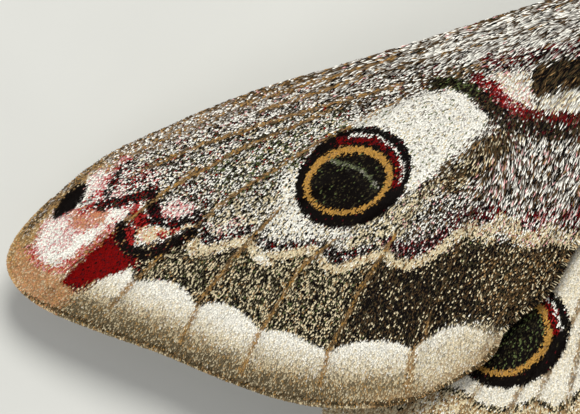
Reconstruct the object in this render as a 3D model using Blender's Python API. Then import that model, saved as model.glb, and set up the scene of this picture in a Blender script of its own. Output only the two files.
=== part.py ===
"""Emperor moth, a female at rest with her wings spread, life size.

Metres, +Z up. The head points to -Y and the left wings to +X. The floor is z = 0, and
the origin lies on it under the middle of the moth.

Places are first given on the moth itself, in millimetres: how far out from the middle
of the body, how far back from the forewing hinge, and how far up from the floor.
"""

import math
import random

import bmesh
import bpy
import numpy as np
from mathutils import Matrix, Vector
from mathutils.geometry import delaunay_2d_cdt

MM = 0.001
GAP = 0.3  # clear space between two neighbouring pieces
WIDER_GAPS = (0.0, 0.007, 0.013, 0.019, 0.029, 0.037, 0.043)
HIP_GAP = 0.4  # between a leg and the thorax, where only the thorax's locks are cut for the leg
TOUCHING = 0.0003  # surfaces closer than this touch
FLOOR_BLOCK = 60.0  # side of the block that levels the feet
HINGE_TO_ORIGIN = 9.02  # the forewing hinge lies this far in front of the origin
SIDES = {"left": 1, "right": -1}

# Body: (back, up, half width, half height) of its cross sections, front to rear.
NECK = -4.9
WAIST = 5.0
TAIL = 21.2
HEAD_SECTIONS = (
    (NECK - GAP, 5.0, 1.60, 1.55),
    (-6.0, 5.0, 2.00, 1.80),
    (-6.9, 4.9, 1.85, 1.70),
    (-7.6, 4.75, 1.30, 1.25),
    (-8.0, 4.65, 0.55, 0.60),
)
THORAX_SECTIONS = (
    (NECK, 5.1, 1.75, 1.70),
    (-4.2, 5.3, 2.75, 2.55),
    (-2.8, 5.6, 3.55, 3.30),
    (-1.0, 5.8, 3.95, 3.65),
    (1.0, 5.75, 4.05, 3.65),
    (3.2, 5.3, 3.80, 3.40),
    (WAIST, 4.9, 3.35, 3.05),
)
ABDOMEN_SECTIONS = (
    (WAIST + GAP, 4.75, 3.30, 3.00),
    (7.5, 4.45, 3.95, 3.65),
    (10.0, 4.15, 4.25, 3.95),
    (13.0, 3.90, 4.25, 3.95),
    (16.0, 3.55, 3.75, 3.60),
    (18.5, 3.05, 2.85, 2.80),
    (20.3, 2.60, 1.75, 1.75),
    (TAIL, 2.40, 0.60, 0.65),
)
SEGMENTS = 7  # rings of the abdomen
RING_PROFILE = ((0.0, 0.93), (0.25, 0.985), (0.9, 1.02))  # share of a ring's length, of the girth
ABDOMEN_SIDES = 18
THORAX_SIDES = 20
HEAD_SIDES = 16
EYE = {"out": 1.55, "back": -6.65, "up": 5.0, "radius": 0.95}
PALP = {"out": 0.55, "back": -7.0, "up": 4.1, "length": 1.5, "rise": 0.35, "splay": 0.15,
        "radius": 0.42, "sides": 6}
PALP_PROFILE = ((0.0, 0.9), (0.5, 1.0), (0.85, 0.7), (1.0, 0.2))  # share of length, of radius

# Wings: one curved sheet, hinged at the side of the thorax.
MEMBRANE = 0.5  # thickness
HINGE_UP = 7.6  # middle of the forewing sheet at the hinge
SLOPE_OUT = 0.055  # fall for each millimetre outwards
SLOPE_BACK = 0.02
DROOP = 0.0010  # the fall grows with the square of the distance out
WING_STACK = 1.15  # the hindwing lies this far under the forewing
HIND_SAG = 0.018  # and sinks further for each millimetre from its hinge
HIND_HINGE = (3.0, 4.5)
TIP_CURL = 0.9  # the outer margin of the forewing bends down this far
TORNUS_CURL = 0.35  # less so above the hindwing
CURL_REACH = 2.6  # over this distance from the margin
TORNUS_ENDS, TIP_STARTS = 17.0, 25.0  # how far out the one curl gives way to the other
CURL_FROM, CURL_FULL = 9.0, 13.0  # how far back the forewing starts to curl, and does so fully
CURL_LEAN = 0.1  # the leading edge, which stays straight, runs back with the distance out
HIND_CURL_FROM, HIND_CURL_FULL = 20.0, 24.0
VEIN_HEIGHT = 0.2
VEIN_HALF_WIDTH = 0.34
RIM_STEP = 1.4
VEIN_STEP = 1.8
FILL_STEP = 2.8
NET_WELD = 0.02  # points of the net this close become one

# Outlines and veins as (out, back).
FOREWING_OUTLINE = (
    (2.4, -1.2), (5.5, -0.8), (10.6, 0.75), (18.5, 3.25), (25.5, 5.35), (31.25, 7.75),
    (33.5, 9.0), (35.5, 10.7), (37.0, 12.3), (37.6, 13.5), (37.55, 14.4), (36.9, 15.35),
    (35.5, 16.3), (33.0, 17.3), (30.0, 18.35), (26.5, 19.8), (23.5, 20.75), (21.0, 21.05),
    (18.0, 20.85), (16.0, 20.05), (14.4, 19.15), (13.4, 18.3), (13.1, 17.5), (12.3, 16.7),
    (10.4, 15.15), (9.35, 13.1), (7.0, 9.75), (4.5, 5.25), (3.0, 2.2), (2.4, 1.4),
)
FOREWING_VEINS = {
    "costa": ((2.8, -0.75), (5.6, -0.35), (10.6, 1.2), (18.4, 3.7), (25.3, 5.8), (30.8, 8.1),
              (33.1, 9.5), (35.1, 11.2)),
    "subcosta": ((2.8, -0.3), (9.0, 1.6), (15.0, 3.25), (20.0, 4.7), (25.0, 6.3)),
    "radius_1": ((13.0, 3.85), (18.0, 5.0), (23.0, 6.4), (28.0, 8.0), (33.0, 10.2), (35.2, 12.4)),
    "radius_5": ((14.5, 4.35), (21.5, 6.3), (26.0, 8.2), (29.75, 10.3), (33.0, 12.75),
                 (35.4, 15.0)),
    "media_1": ((2.8, 0.1), (9.0, 2.75), (14.5, 4.35), (18.0, 5.75), (22.5, 8.15),
                (26.5, 10.6), (29.75, 13.35), (31.9, 15.4), (32.9, 17.0)),
    "media_2": ((20.75, 9.65), (23.75, 10.9), (26.0, 13.25), (28.0, 15.75), (29.1, 18.1)),
    "media_3": ((18.75, 11.0), (20.5, 12.1), (23.0, 14.15), (24.9, 17.25), (25.6, 19.6)),
    "cubitus_1": ((2.8, 0.55), (6.0, 2.6), (9.5, 4.9), (12.5, 7.0), (16.0, 9.25), (18.25, 12.5),
                  (20.0, 15.25), (21.75, 18.75), (22.2, 20.4)),
    "cubitus_2": ((12.5, 7.0), (14.2, 10.6), (15.25, 13.5), (16.6, 16.85), (17.6, 20.2)),
    "cell_end": ((16.0, 9.25), (18.75, 11.0), (20.75, 9.65), (21.6, 7.6)),
    "anal": ((2.8, 1.0), (6.4, 6.4), (9.4, 10.6), (11.25, 13.75), (13.9, 17.9)),
}
HINDWING_OUTLINE = (
    (2.6, 3.2), (5.0, 4.2), (9.0, 7.6), (13.5, 12.0), (17.5, 15.8), (20.4, 18.8), (21.6, 21.3),
    (21.3, 23.8), (19.8, 26.2), (17.0, 28.3), (13.6, 29.3), (10.2, 29.1), (7.6, 27.7),
    (6.1, 25.4), (5.4, 21.5), (5.2, 16.0), (5.1, 11.0), (4.3, 7.6), (2.6, 6.0),
)
HINDWING_VEINS = {
    "subcosta": ((3.2, 3.9), (6.0, 5.8), (11.0, 10.6), (16.5, 15.8), (20.6, 20.6)),
    "media_1": ((3.2, 4.4), (8.2, 9.8), (12.6, 14.8), (17.0, 20.0), (20.0, 25.2)),
    "media_2": ((12.15, 17.3), (15.0, 21.6), (17.6, 27.2)),
    "media_3": ((10.4, 17.4), (13.2, 22.4), (15.6, 28.2)),
    "cubitus_1": ((3.2, 4.9), (6.9, 10.8), (9.1, 16.25), (11.1, 20.5), (13.2, 28.6)),
    "cubitus_2": ((7.6, 12.4), (8.9, 17.5), (10.0, 22.5), (10.6, 28.4)),
    "cell_end": ((12.6, 14.8), (12.15, 17.3), (10.4, 17.4), (9.1, 16.25)),
    "anal": ((3.2, 5.3), (5.9, 10.6), (6.9, 17.0), (7.7, 23.0), (8.2, 27.4)),
}

# Legs: (out, back, up) of the joints from the coxa to the end of the foot, and radii there.
LEG_JOINTS = {
    "fore": ((1.3, -3.0, 3.1), (4.0, -5.4, 3.3), (5.6, -7.6, 0.55), (7.0, -10.2, 0.20)),
    "mid": ((1.7, -0.6, 2.8), (4.9, -1.3, 3.6), (7.2, -1.7, 0.55), (10.2, -2.6, 0.20)),
    "hind": ((1.6, 2.2, 2.8), (4.6, 5.2, 3.4), (6.6, 8.4, 0.55), (8.4, 11.8, 0.20)),
}
COXA, FEMUR, TIBIA, TARSUS, CLAW = 0.75, 0.62, 0.52, 0.27, 0.16
LEG_SIDES = 7
CLAW_SIDES = 4
CLAW_LENGTH = 0.55
HEEL_RISE = 0.06

# Antennae: (out, back, up) along the shaft, and the short teeth in pairs along it.
ANTENNA_PATH = ((0.7, -6.9, 6.1), (1.5, -8.2, 6.8), (3.4, -9.7, 7.0), (5.8, -10.6, 6.8),
                (8.4, -10.9, 6.4))
ANTENNA_RADIUS = 0.28
ANTENNA_TAPER = 0.65  # of the radius is gone at the tip
ANTENNA_SIDES = 6
TOOTH_PAIRS = 15
TOOTH_FROM, TOOTH_SPAN = 0.16, 0.78  # share of the shaft before the teeth, and along them
TOOTH_LENGTH = 0.62
TOOTH_LEAN = 0.3
TOOTH_RADIUS = 0.13
TOOTH_SIDES = 4

# Woolly coat: flat tapered locks in rows of (back, first angle, last angle, locks a side), with
# the angle counted down from the top of the back.
THORAX_LOCK = {"length": 3.2, "width": 1.5, "rise": 1.1, "sink": 0.75, "spread": 0.5}
THORAX_ROWS = (
    (-4.9, 0, 105, 5), (-3.6, 12, 96, 4), (-2.2, 0, 80, 4), (-0.9, 11, 74, 4), (0.5, 0, 68, 4),
    (1.9, 11, 74, 4), (3.2, 0, 88, 5), (4.1, 11, 100, 5),
    (-2.6, 118, 150, 2), (0.8, 110, 144, 2), (3.4, 122, 160, 2),
)
ABDOMEN_LOCK = {"length": 2.2, "width": 1.75, "rise": 0.32, "sink": 0.6, "spread": 0.12}
ABDOMEN_COUNTS = (4, 5, 5, 5, 4, 3, 2)  # locks a side on each ring
ABDOMEN_REACH = 112  # the locks of a ring go down this far on each side
HEAD_LOCK = {"length": 1.5, "width": 0.95, "rise": 0.45, "sink": 0.5, "spread": 0.35}
HEAD_ROWS = ((-7.3, 14, 60, 2), (-6.4, 0, 60, 3))
LOCK_PROFILE = ((0.0, 0.75), (0.35, 1.0), (0.72, 0.74), (1.0, 0.14))  # share of length, of width
LOCK_FLATNESS = 0.34  # thickness to width
LOCK_SCATTER = {"angle": 3.0, "back": 0.2, "out": 0.14, "shortest": 0.85, "longest": 1.12}
SHELL_LIMIT = 1.6  # a sharp corner is grown by at most this many gaps

COLOURS = {
    "forewing": ((0.30, 0.27, 0.23), 0.85),
    "hindwing": ((0.62, 0.57, 0.45), 0.85),
    "coat": ((0.34, 0.30, 0.27), 0.95),
    "abdomen": ((0.45, 0.41, 0.36), 0.95),
    "eye": ((0.03, 0.025, 0.02), 0.25),
    "antenna": ((0.36, 0.22, 0.11), 0.6),
    "leg": ((0.26, 0.17, 0.12), 0.85),
}


def clear_scene():
    for thing in list(bpy.data.objects):
        bpy.data.objects.remove(thing)


def material(name):
    made = bpy.data.materials.get(name)
    if made is None:
        colour, roughness = COLOURS[name]
        made = bpy.data.materials.new(name)
        made.use_nodes = True
        shader = made.node_tree.nodes["Principled BSDF"]
        shader.inputs["Base Color"].default_value = (*colour, 1.0)
        shader.inputs["Roughness"].default_value = roughness
        shader.inputs["Metallic"].default_value = 0.0
    return made


def place(out, back, up):
    """A point on the moth as a point of the model, in metres."""
    return Vector((out, back - HINGE_TO_ORIGIN, up)) * MM


def new_object(name, bm, finish):
    bmesh.ops.recalc_face_normals(bm, faces=bm.faces)
    mesh = bpy.data.meshes.new(name)
    bm.to_mesh(mesh)
    bm.free()
    mesh.materials.append(material(finish))
    made = bpy.data.objects.new(name, mesh)
    bpy.context.scene.collection.objects.link(made)
    return made


def smooth_path(points, spacing, closed=False):
    """Points about spacing apart on the Catmull-Rom curve through the given ones."""
    knots = np.array(points, float)
    count = len(knots)
    steps = np.linspace(0.0, 1.0, 24, endpoint=False)[:, None]
    dense = []
    for i in range(count if closed else count - 1):
        b, c = knots[i], knots[(i + 1) % count]
        a = knots[i - 1] if closed or i else 2 * b - c
        d = knots[(i + 2) % count] if closed or i + 2 < count else 2 * c - b
        dense.append(
            0.5 * (2 * b + (c - a) * steps + (2 * a - 5 * b + 4 * c - d) * steps**2
                   + (3 * b - a - 3 * c + d) * steps**3)
        )
    dense = np.vstack([*dense, knots[:1] if closed else knots[-1:]])
    run = np.concatenate([[0.0], np.cumsum(np.linalg.norm(np.diff(dense, axis=0), axis=1))])
    marks = np.linspace(0.0, run[-1], max(2, round(run[-1] / spacing)) + 1)
    found = np.stack([np.interp(marks, run, axis) for axis in dense.T], axis=1)
    return found[:-1] if closed else found


def distance_to(points, path, closed=False):
    """How far each point is from the nearest stretch of a path."""
    starts = path if closed else path[:-1]
    ends = np.roll(path, -1, axis=0) if closed else path[1:]
    along = ends - starts
    offset = points[:, None, :] - starts[None]
    share = (offset * along).sum(2) / (along * along).sum(1)
    nearest = starts + np.clip(share, 0.0, 1.0)[..., None] * along
    return np.linalg.norm(points[:, None, :] - nearest, axis=2).min(1)


def inside(points, rim):
    """Whether each point is inside a closed outline."""
    x, y = points[:, :1], points[:, 1:]
    x1, y1 = rim.T
    x2, y2 = np.roll(rim, -1, axis=0).T
    spans = (y1 > y) != (y2 > y)
    with np.errstate(divide="ignore", invalid="ignore"):
        crossings = x < (x2 - x1) * (y - y1) / (y2 - y1) + x1
    return (spans & crossings).sum(1) % 2 == 1


def spread_out(points, others, least):
    """The points, taken in turn, that are at least this far from the others and from the ones
    taken before."""
    kept = []
    for point in points:
        if np.linalg.norm(np.vstack([others, *kept]) - point, axis=1).min() >= least:
            kept.append(point[None])
    return np.vstack(kept)


def forewing_middle(points, margin):
    """Height of the middle of the forewing sheet. margin is how far each point is from its edge."""
    out, back = points.T
    outer = np.clip((out - TORNUS_ENDS) / (TIP_STARTS - TORNUS_ENDS), 0.0, 1.0)
    curl = TORNUS_CURL + (TIP_CURL - TORNUS_CURL) * outer
    curl = curl * np.clip(1.0 - margin / CURL_REACH, 0.0, 1.0) ** 2
    rear = (back + out * CURL_LEAN - CURL_FROM) / (CURL_FULL - CURL_FROM)
    flat = HINGE_UP - SLOPE_OUT * out - DROOP * out**2 - SLOPE_BACK * back
    return flat - curl * np.clip(rear, 0.0, 1.0)


def hindwing_middle(points, margin):
    out, back = points.T
    flat = HINGE_UP - SLOPE_OUT * out - DROOP * out**2 - SLOPE_BACK * back
    reach = np.hypot(out - HIND_HINGE[0], back - HIND_HINGE[1])
    curl = TORNUS_CURL * np.clip(1.0 - margin / CURL_REACH, 0.0, 1.0) ** 2
    rear = (back - HIND_CURL_FROM) / (HIND_CURL_FULL - HIND_CURL_FROM)
    return flat - WING_STACK - HIND_SAG * reach - curl * np.clip(rear, 0.0, 1.0)


def vein_feet(paths, rim):
    """Lines along the foot of each vein's ridge. Between two close veins there is one, half way."""
    lines = []
    for i, path in enumerate(paths):
        others = [other for j, other in enumerate(paths) if j != i]
        run = np.gradient(path, axis=0)
        across = np.stack([-run[:, 1], run[:, 0]], axis=1)
        across *= VEIN_HALF_WIDTH / np.linalg.norm(across, axis=1)[:, None]
        for way in (-1, 1):
            beside = path + way * across
            room = np.min([distance_to(beside, other) for other in others], axis=0)
            beside = path + way * across * np.clip(0.5 + room / VEIN_HALF_WIDTH / 2, 0.5, 1)[:, None]
            clear = np.min([distance_to(beside, other) for other in others + lines], axis=0)
            clear = (clear > 0.5 * VEIN_HALF_WIDTH) & inside(beside, rim)
            clear &= distance_to(beside, rim, closed=True) > VEIN_HALF_WIDTH
            breaks = np.flatnonzero(np.diff(clear.astype(int))) + 1
            lines += [
                piece for piece, kept in zip(np.split(beside, breaks), np.split(clear, breaks))
                if kept[0] and len(piece) > 1
            ]
    return lines


def wing_net(outline, veins):
    """Triangles over a wing's outline, with edges along each vein and along both of its feet, as
    (points, triangles, path of each vein, rim)."""
    rim = smooth_path(outline, RIM_STEP, closed=True)
    paths = [smooth_path(v, VEIN_STEP) for v in veins.values()]
    paths = [p[inside(p, rim) & (distance_to(p, rim, closed=True) > VEIN_HALF_WIDTH)] for p in paths]
    lines = paths + vein_feet(paths, rim)
    low, high = rim.min(0), rim.max(0)
    rows = np.arange(low[1], high[1], FILL_STEP * math.sqrt(0.75))
    fill = np.array([
        (x + (i % 2) * FILL_STEP / 2, y)
        for i, y in enumerate(rows) for x in np.arange(low[0], high[0], FILL_STEP)
    ])
    inward = np.roll(rim, 1, axis=0) - np.roll(rim, -1, axis=0)
    inward = np.stack([-inward[:, 1], inward[:, 0]], axis=1)
    inward *= CURL_REACH / 2 / np.linalg.norm(inward, axis=1)[:, None]
    fill = np.vstack([rim + inward, rim - inward, fill])
    fill = fill[inside(fill, rim)]
    fill = fill[distance_to(fill, rim, closed=True) > 0.8 * CURL_REACH / 2]
    fill = spread_out(fill, np.vstack([rim, *lines]), 0.4 * FILL_STEP)
    edges = [(i, (i + 1) % len(rim)) for i in range(len(rim))]
    start = len(rim)
    for line in lines:
        edges += [(start + i, start + i + 1) for i in range(len(line) - 1)]
        start += len(line)
    points = [Vector(point) for point in np.vstack([rim, *lines, fill])]
    made = delaunay_2d_cdt(points, edges, [list(range(len(rim)))], 1, NET_WELD)
    return np.array([tuple(point) for point in made[0]]), made[2], paths, rim


def build_wing(name, side, outline, veins, middle, finish):
    """A wing as one closed sheet. Its veins stand up from the upper face."""
    points, triangles, paths, rim = wing_net(outline, veins)
    margin = distance_to(points, rim, closed=True)
    level = middle(points, margin)
    vein = np.min([distance_to(points, path) for path in paths], axis=0)
    ridge = VEIN_HEIGHT * np.clip(1.0 - vein / VEIN_HALF_WIDTH, 0.0, 1.0)
    bm = bmesh.new()
    under = {}
    for (out, back), up, rise in zip(points, level, ridge):
        top = bm.verts.new(place(side * out, back, up + MEMBRANE / 2 + rise))
        under[top] = place(side * out, back, up - MEMBRANE / 2)
    tops = list(under)
    for triangle in triangles:
        bm.faces.new([tops[i] for i in triangle])
    walls = [edge.verts[:] for edge in bm.edges if edge.is_boundary]
    upper_faces = bm.faces[:]
    under = {top: bm.verts.new(spot) for top, spot in under.items()}
    for face in upper_faces:
        bm.faces.new([under[top] for top in reversed(face.verts)])
    for a, b in walls:
        bm.faces.new((a, b, under[b], under[a]))
    return new_object(name, bm, finish)


def tube(stations, sides):
    """A closed bmesh through rings of (centre, direction, half width, half height), in metres.
    The width lies level, and the height stands up from it."""
    bm = bmesh.new()
    rings = []
    for centre, direction, width, height in stations:
        forward = direction.normalized()
        level = forward.cross(Vector((0, 0, 1)))
        level = level.normalized() if level.length > 1e-6 else Vector((1, 0, 0))
        turn = Matrix((level, level.cross(forward) * -1, forward)).transposed().to_4x4()
        turn = Matrix.Translation(centre) @ turn @ Matrix.Diagonal((width, height, 1, 1))
        ring = bmesh.ops.create_circle(bm, segments=sides, radius=1.0, matrix=turn)["verts"]
        rings.append(ring)
    close_rings(bm, rings)
    return bm


def close_rings(bm, rings):
    """Walls from each ring of vertices to the next, and a cap at both ends."""
    for one, two in zip(rings, rings[1:]):
        for k in range(len(one)):
            following = (k + 1) % len(one)
            bm.faces.new((one[k], one[following], two[following], two[k]))
    bm.faces.new(rings[0])
    bm.faces.new(rings[-1])


def body_stations(sections, spacing):
    """Rings for tube() along smooth body sections of (back, up, half width, half height)."""
    path = smooth_path(sections, spacing)
    return [
        (place(0, back, up), Vector((0, 1, 0)), width * MM, height * MM)
        for back, up, width, height in path
    ]


def skin_point(sections, back, angle):
    """(point, outward direction) on a body section. The angle runs from the top, 0, to the left
    side, 90 degrees, in millimetres on the moth."""
    path = smooth_path(sections, 0.2)
    up, width, height = (np.interp(back, path[:, 0], path[:, k]) for k in (1, 2, 3))
    s, c = math.sin(math.radians(angle)), math.cos(math.radians(angle))
    swell = np.interp([back - 0.3, back + 0.3], path[:, 0], path[:, 2])
    lean = -(swell[1] - swell[0]) / 0.6
    outward = Vector((s / width, lean / max(width, height), c / height)).normalized()
    return Vector((s * width, back, up + c * height)), outward


def lock(root, outward, lie, size):
    """A closed flat lock that leaves the skin at root and bends over along its lie."""
    lie = (lie - lie.project(outward)).normalized()
    length, width = size["length"], size["width"]
    spots = []
    for share, _ in LOCK_PROFILE:
        lift = size["rise"] * share * (1.9 - share) - size["sink"] * (1 - share) ** 3
        spots.append(root + lie * length * share + outward * lift)
    stations = []
    across = lie.cross(outward)
    for i, (_, breadth) in enumerate(LOCK_PROFILE):
        run = spots[min(i + 1, len(spots) - 1)] - spots[max(i - 1, 0)]
        stations.append((spots[i], run.normalized(), width * breadth / 2))
    bm = bmesh.new()
    rings = []
    for spot, run, half in stations:
        face = run.cross(across).normalized()
        turn = Matrix((across, face, run)).transposed().to_4x4()
        turn = Matrix.Translation(place(*spot)) @ turn
        turn @= Matrix.Diagonal((half * MM, half * LOCK_FLATNESS * MM, 1, 1))
        rings.append(bmesh.ops.create_circle(bm, segments=4, radius=1.0, matrix=turn)["verts"])
    close_rings(bm, rings)
    return bm


def combine(base, pieces, operation):
    """Joins closed pieces to the base, or takes them out of it, and removes them."""
    group = bpy.data.collections.new(base.name + "_pieces")
    bpy.context.scene.collection.children.link(group)
    for piece in pieces:
        piece.hide_render = True
        piece.display_type = "WIRE"
        bpy.context.scene.collection.objects.unlink(piece)
        group.objects.link(piece)
    boolean = base.modifiers.new("combine", "BOOLEAN")
    boolean.operation = operation
    boolean.operand_type = "COLLECTION"
    boolean.collection = group
    boolean.solver = "MANIFOLD"
    apply_modifiers(base)
    for piece in pieces:
        bpy.data.objects.remove(piece)
    bpy.data.collections.remove(group)


def clear_of(base, neighbours, gap, on_floor=False):
    """Cuts a piece clear of the simple closed shapes of its neighbours, by the gap. Where that
    leaves surfaces that touch each other, it is cut again with a slightly wider gap."""
    whole = base.data
    for extra in WIDER_GAPS:
        base.data = whole.copy()
        cutters = [fattened(shape, gap + extra) for shape in neighbours]
        combine(base, cutters + [below_floor()] if on_floor else cutters, "DIFFERENCE")
        keep_largest(base)
        if is_sound(base):
            return
    raise RuntimeError(f"{base.name} can't be cut clear of its neighbours")


def is_sound(thing):
    """Whether the surface is one closed body that touches itself nowhere."""
    bm = bmesh.new()
    bm.from_mesh(thing.data)
    bmesh.ops.triangulate(bm, faces=bm.faces)
    bmesh.ops.remove_doubles(bm, verts=bm.verts, dist=TOUCHING * MM)
    sound = all(len(edge.link_faces) == 2 for edge in bm.edges)
    sound = sound and all(vert.is_manifold for vert in bm.verts)
    bm.free()
    return sound


def apply_modifiers(thing):
    graph = bpy.context.evaluated_depsgraph_get()
    finished = bpy.data.meshes.new_from_object(thing.evaluated_get(graph))
    thing.modifiers.clear()
    thing.data = finished


def keep_largest(thing):
    """Leaves only the largest closed surface, without loose scraps and sealed hollows."""
    bm = bmesh.new()
    bm.from_mesh(thing.data)
    unseen = set(bm.faces)
    groups = []
    while unseen:
        queue = [unseen.pop()]
        group = set(queue)
        while queue:
            for edge in queue.pop().edges:
                if len(edge.link_faces) > 2:
                    continue
                fresh = [face for face in edge.link_faces if face in unseen]
                unseen.difference_update(fresh)
                group.update(fresh)
                queue.extend(fresh)
        groups.append(group)
    kept = max(groups, key=lambda group: sum(face.calc_area() for face in group))
    bmesh.ops.delete(bm, geom=[face for face in bm.faces if face not in kept], context="FACES")
    bm.to_mesh(thing.data)
    bm.free()


def fattened(mesh, by):
    """A shape grown outwards by the gap, to cut a neighbour clear of it."""
    bm = bmesh.new()
    bm.from_mesh(mesh)
    bm.normal_update()
    moves = [v.normal * v.calc_shell_factor() for v in bm.verts]
    for vert, move in zip(bm.verts, moves):
        move = move if move.length < SHELL_LIMIT else move.normalized() * SHELL_LIMIT
        vert.co += move * by * MM
    return new_object("clear", bm, "coat")


def below_floor():
    """A block that reaches up to the floor, to level what rests on it."""
    bm = bmesh.new()
    place_block = Matrix.Translation((0, 0, -FLOOR_BLOCK * MM / 2))
    place_block @= Matrix.Diagonal((FLOOR_BLOCK * MM, FLOOR_BLOCK * MM, FLOOR_BLOCK * MM, 1))
    bmesh.ops.create_cube(bm, size=1.0, matrix=place_block)
    return new_object("floor_clear", bm, "coat")


def build_leg(name, side, joints):
    """Coxa, femur, tibia and a foot that lies on the floor and ends in two claws."""
    hip, knee, ankle, toe = (Vector((side * p[0], p[1], p[2])) for p in joints)
    heel = ankle.lerp(toe, 0.12)
    heel.z = toe.z + HEEL_RISE
    marks = (
        (hip, COXA), (hip.lerp(knee, 0.35), FEMUR), (hip.lerp(knee, 0.8), FEMUR * 0.9),
        (knee, FEMUR * 0.75), (knee.lerp(ankle, 0.2), TIBIA), (knee.lerp(ankle, 0.75), TIBIA * 0.9),
        (ankle, TARSUS * 1.1), (heel, TARSUS), (heel.lerp(toe, 0.3), TARSUS),
        (heel.lerp(toe, 0.34), TARSUS * 0.85), (heel.lerp(toe, 0.62), TARSUS),
        (heel.lerp(toe, 0.66), TARSUS * 0.85), (toe, CLAW + HEEL_RISE),
    )
    stations = []
    for i, (spot, radius) in enumerate(marks):
        run = marks[min(i + 1, len(marks) - 1)][0] - marks[max(i - 1, 0)][0]
        stations.append((place(*spot), run, radius * MM, radius * MM))
    leg = new_object(name, tube(stations, LEG_SIDES), "leg")
    run = (toe - heel).normalized()
    across = run.cross(Vector((0, 0, 1)))
    claws = []
    for way in (-1, 1):
        tip = toe + run * CLAW_LENGTH * 0.7 + across * way * CLAW_LENGTH * 0.55
        tip.z = CLAW * 0.55
        start = toe - run * 0.15
        stations = [
            (place(*start), tip - start, CLAW * MM, CLAW * MM),
            (place(*start.lerp(tip, 0.55)), tip - start, CLAW * 0.8 * MM, CLAW * 0.8 * MM),
            (place(*tip), tip - start, CLAW * 0.25 * MM, CLAW * 0.25 * MM),
        ]
        claws.append(new_object(f"{name}_claw_{way}", tube(stations, CLAW_SIDES), "leg"))
    combine(leg, claws, "UNION")
    return leg


def build_antenna(name, side):
    """A tapering shaft with short teeth in pairs, as a female's."""
    path = smooth_path(ANTENNA_PATH, 1.15) * (side, 1, 1)
    stations = []
    for i, spot in enumerate(path):
        share = i / (len(path) - 1)
        run = Vector(path[min(i + 1, len(path) - 1)] - path[max(i - 1, 0)])
        radius = ANTENNA_RADIUS * (1.0 - ANTENNA_TAPER * share) * MM
        stations.append((place(*spot), run, radius, radius))
    shaft = new_object(name, tube(stations, ANTENNA_SIDES), "antenna")
    fine = smooth_path(ANTENNA_PATH, 0.1) * (side, 1, 1)
    teeth = []
    for i in range(TOOTH_PAIRS):
        share = TOOTH_FROM + TOOTH_SPAN * i / (TOOTH_PAIRS - 1)
        at = round(share * (len(fine) - 2))
        spot, run = Vector(fine[at]), Vector(fine[at + 1] - fine[at]).normalized()
        across = run.cross(Vector((0, 0, 1))).normalized()
        reach = TOOTH_LENGTH * (1.0 - 0.6 * max(0.0, share - 0.4))
        for way in (-1, 1):
            tip = spot + across * way * (reach + ANTENNA_RADIUS * (1 - share)) + run * TOOTH_LEAN
            stations = [
                (place(*spot), tip - spot, TOOTH_RADIUS * MM, TOOTH_RADIUS * MM),
                (place(*tip), tip - spot, TOOTH_RADIUS * 0.35 * MM, TOOTH_RADIUS * 0.35 * MM),
            ]
            tooth = tube(stations, TOOTH_SIDES)
            teeth.append(new_object(f"{name}_tooth_{i}_{way}", tooth, "antenna"))
    combine(shaft, teeth, "UNION")
    return shaft


def build_eye(name, side):
    bm = bmesh.new()
    spot = place(side * EYE["out"], EYE["back"], EYE["up"])
    bmesh.ops.create_icosphere(
        bm, subdivisions=2, radius=EYE["radius"] * MM, matrix=Matrix.Translation(spot)
    )
    return new_object(name, bm, "eye")


def build_abdomen():
    """Seven rings, each narrow where it comes out from under the one before."""
    smooth = smooth_path(ABDOMEN_SECTIONS, 0.2)
    start, ring = WAIST + GAP, (TAIL - WAIST - GAP) / SEGMENTS
    rows = []
    for i in range(SEGMENTS):
        for share, girth in RING_PROFILE:
            back = start + (i + share) * ring
            up, width, height = (np.interp(back, smooth[:, 0], smooth[:, k]) for k in (1, 2, 3))
            girth = 1.0 if i == 0 and share == 0.0 else girth
            rows.append((place(0, back, up), Vector((0, 1, 0)), width * girth * MM,
                         height * girth * MM))
    back, up, width, height = ABDOMEN_SECTIONS[-1]
    rows.append((place(0, back, up), Vector((0, 1, 0)), width * MM, height * MM))
    return new_object("abdomen", tube(rows, ABDOMEN_SIDES), "abdomen")


def build_head():
    head = new_object("head", tube(body_stations(HEAD_SECTIONS, 0.75), HEAD_SIDES), "coat")
    palps = []
    for way in (-1, 1):
        root = Vector((way * PALP["out"], PALP["back"], PALP["up"]))
        tip = root + Vector((way * PALP["splay"], -PALP["length"], PALP["rise"]))
        stations = [
            (place(*root.lerp(tip, share)), tip - root, PALP["radius"] * girth * MM,
             PALP["radius"] * girth * MM)
            for share, girth in PALP_PROFILE
        ]
        palps.append(new_object(f"palp_{way}", tube(stations, PALP["sides"]), "coat"))
    combine(head, palps, "UNION")
    return head


def locks_on(sections, rows, size, seed):
    """Locks in rows on both sides of a body. They lie towards its rear and fan out."""
    draw = random.Random(seed)
    loose = LOCK_SCATTER
    made = []
    for back, first, last, count in rows:
        for i in range(count):
            angle = first + (last - first) * i / (count - 1)
            for way in (-1, 1) if angle else (1,):
                turned = way * angle + draw.uniform(-loose["angle"], loose["angle"])
                spot = back + draw.uniform(-loose["back"], loose["back"])
                root, outward = skin_point(sections, spot, turned)
                out = size["spread"] * math.sin(math.radians(turned))
                out += draw.uniform(-loose["out"], loose["out"])
                length = size["length"] * draw.uniform(loose["shortest"], loose["longest"])
                own = dict(size, length=length)
                bm = lock(root, outward, Vector((out, 1.0, -0.12)), own)
                made.append(new_object(f"lock_{len(made)}", bm, "coat"))
    return made


def coated(body, sections, rows, size, seed):
    """Joins locks to a body. Returns the simple shapes it is then made of."""
    locks = locks_on(sections, rows, size, seed)
    shapes = [piece.data.copy() for piece in [body, *locks]]
    combine(body, locks, "UNION")
    return shapes


def abdomen_rows():
    ring = (TAIL - WAIST - GAP) / SEGMENTS
    return [
        (WAIST + GAP + (i + 0.55) * ring, 0, ABDOMEN_REACH, count)
        for i, count in enumerate(ABDOMEN_COUNTS)
    ]


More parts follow.
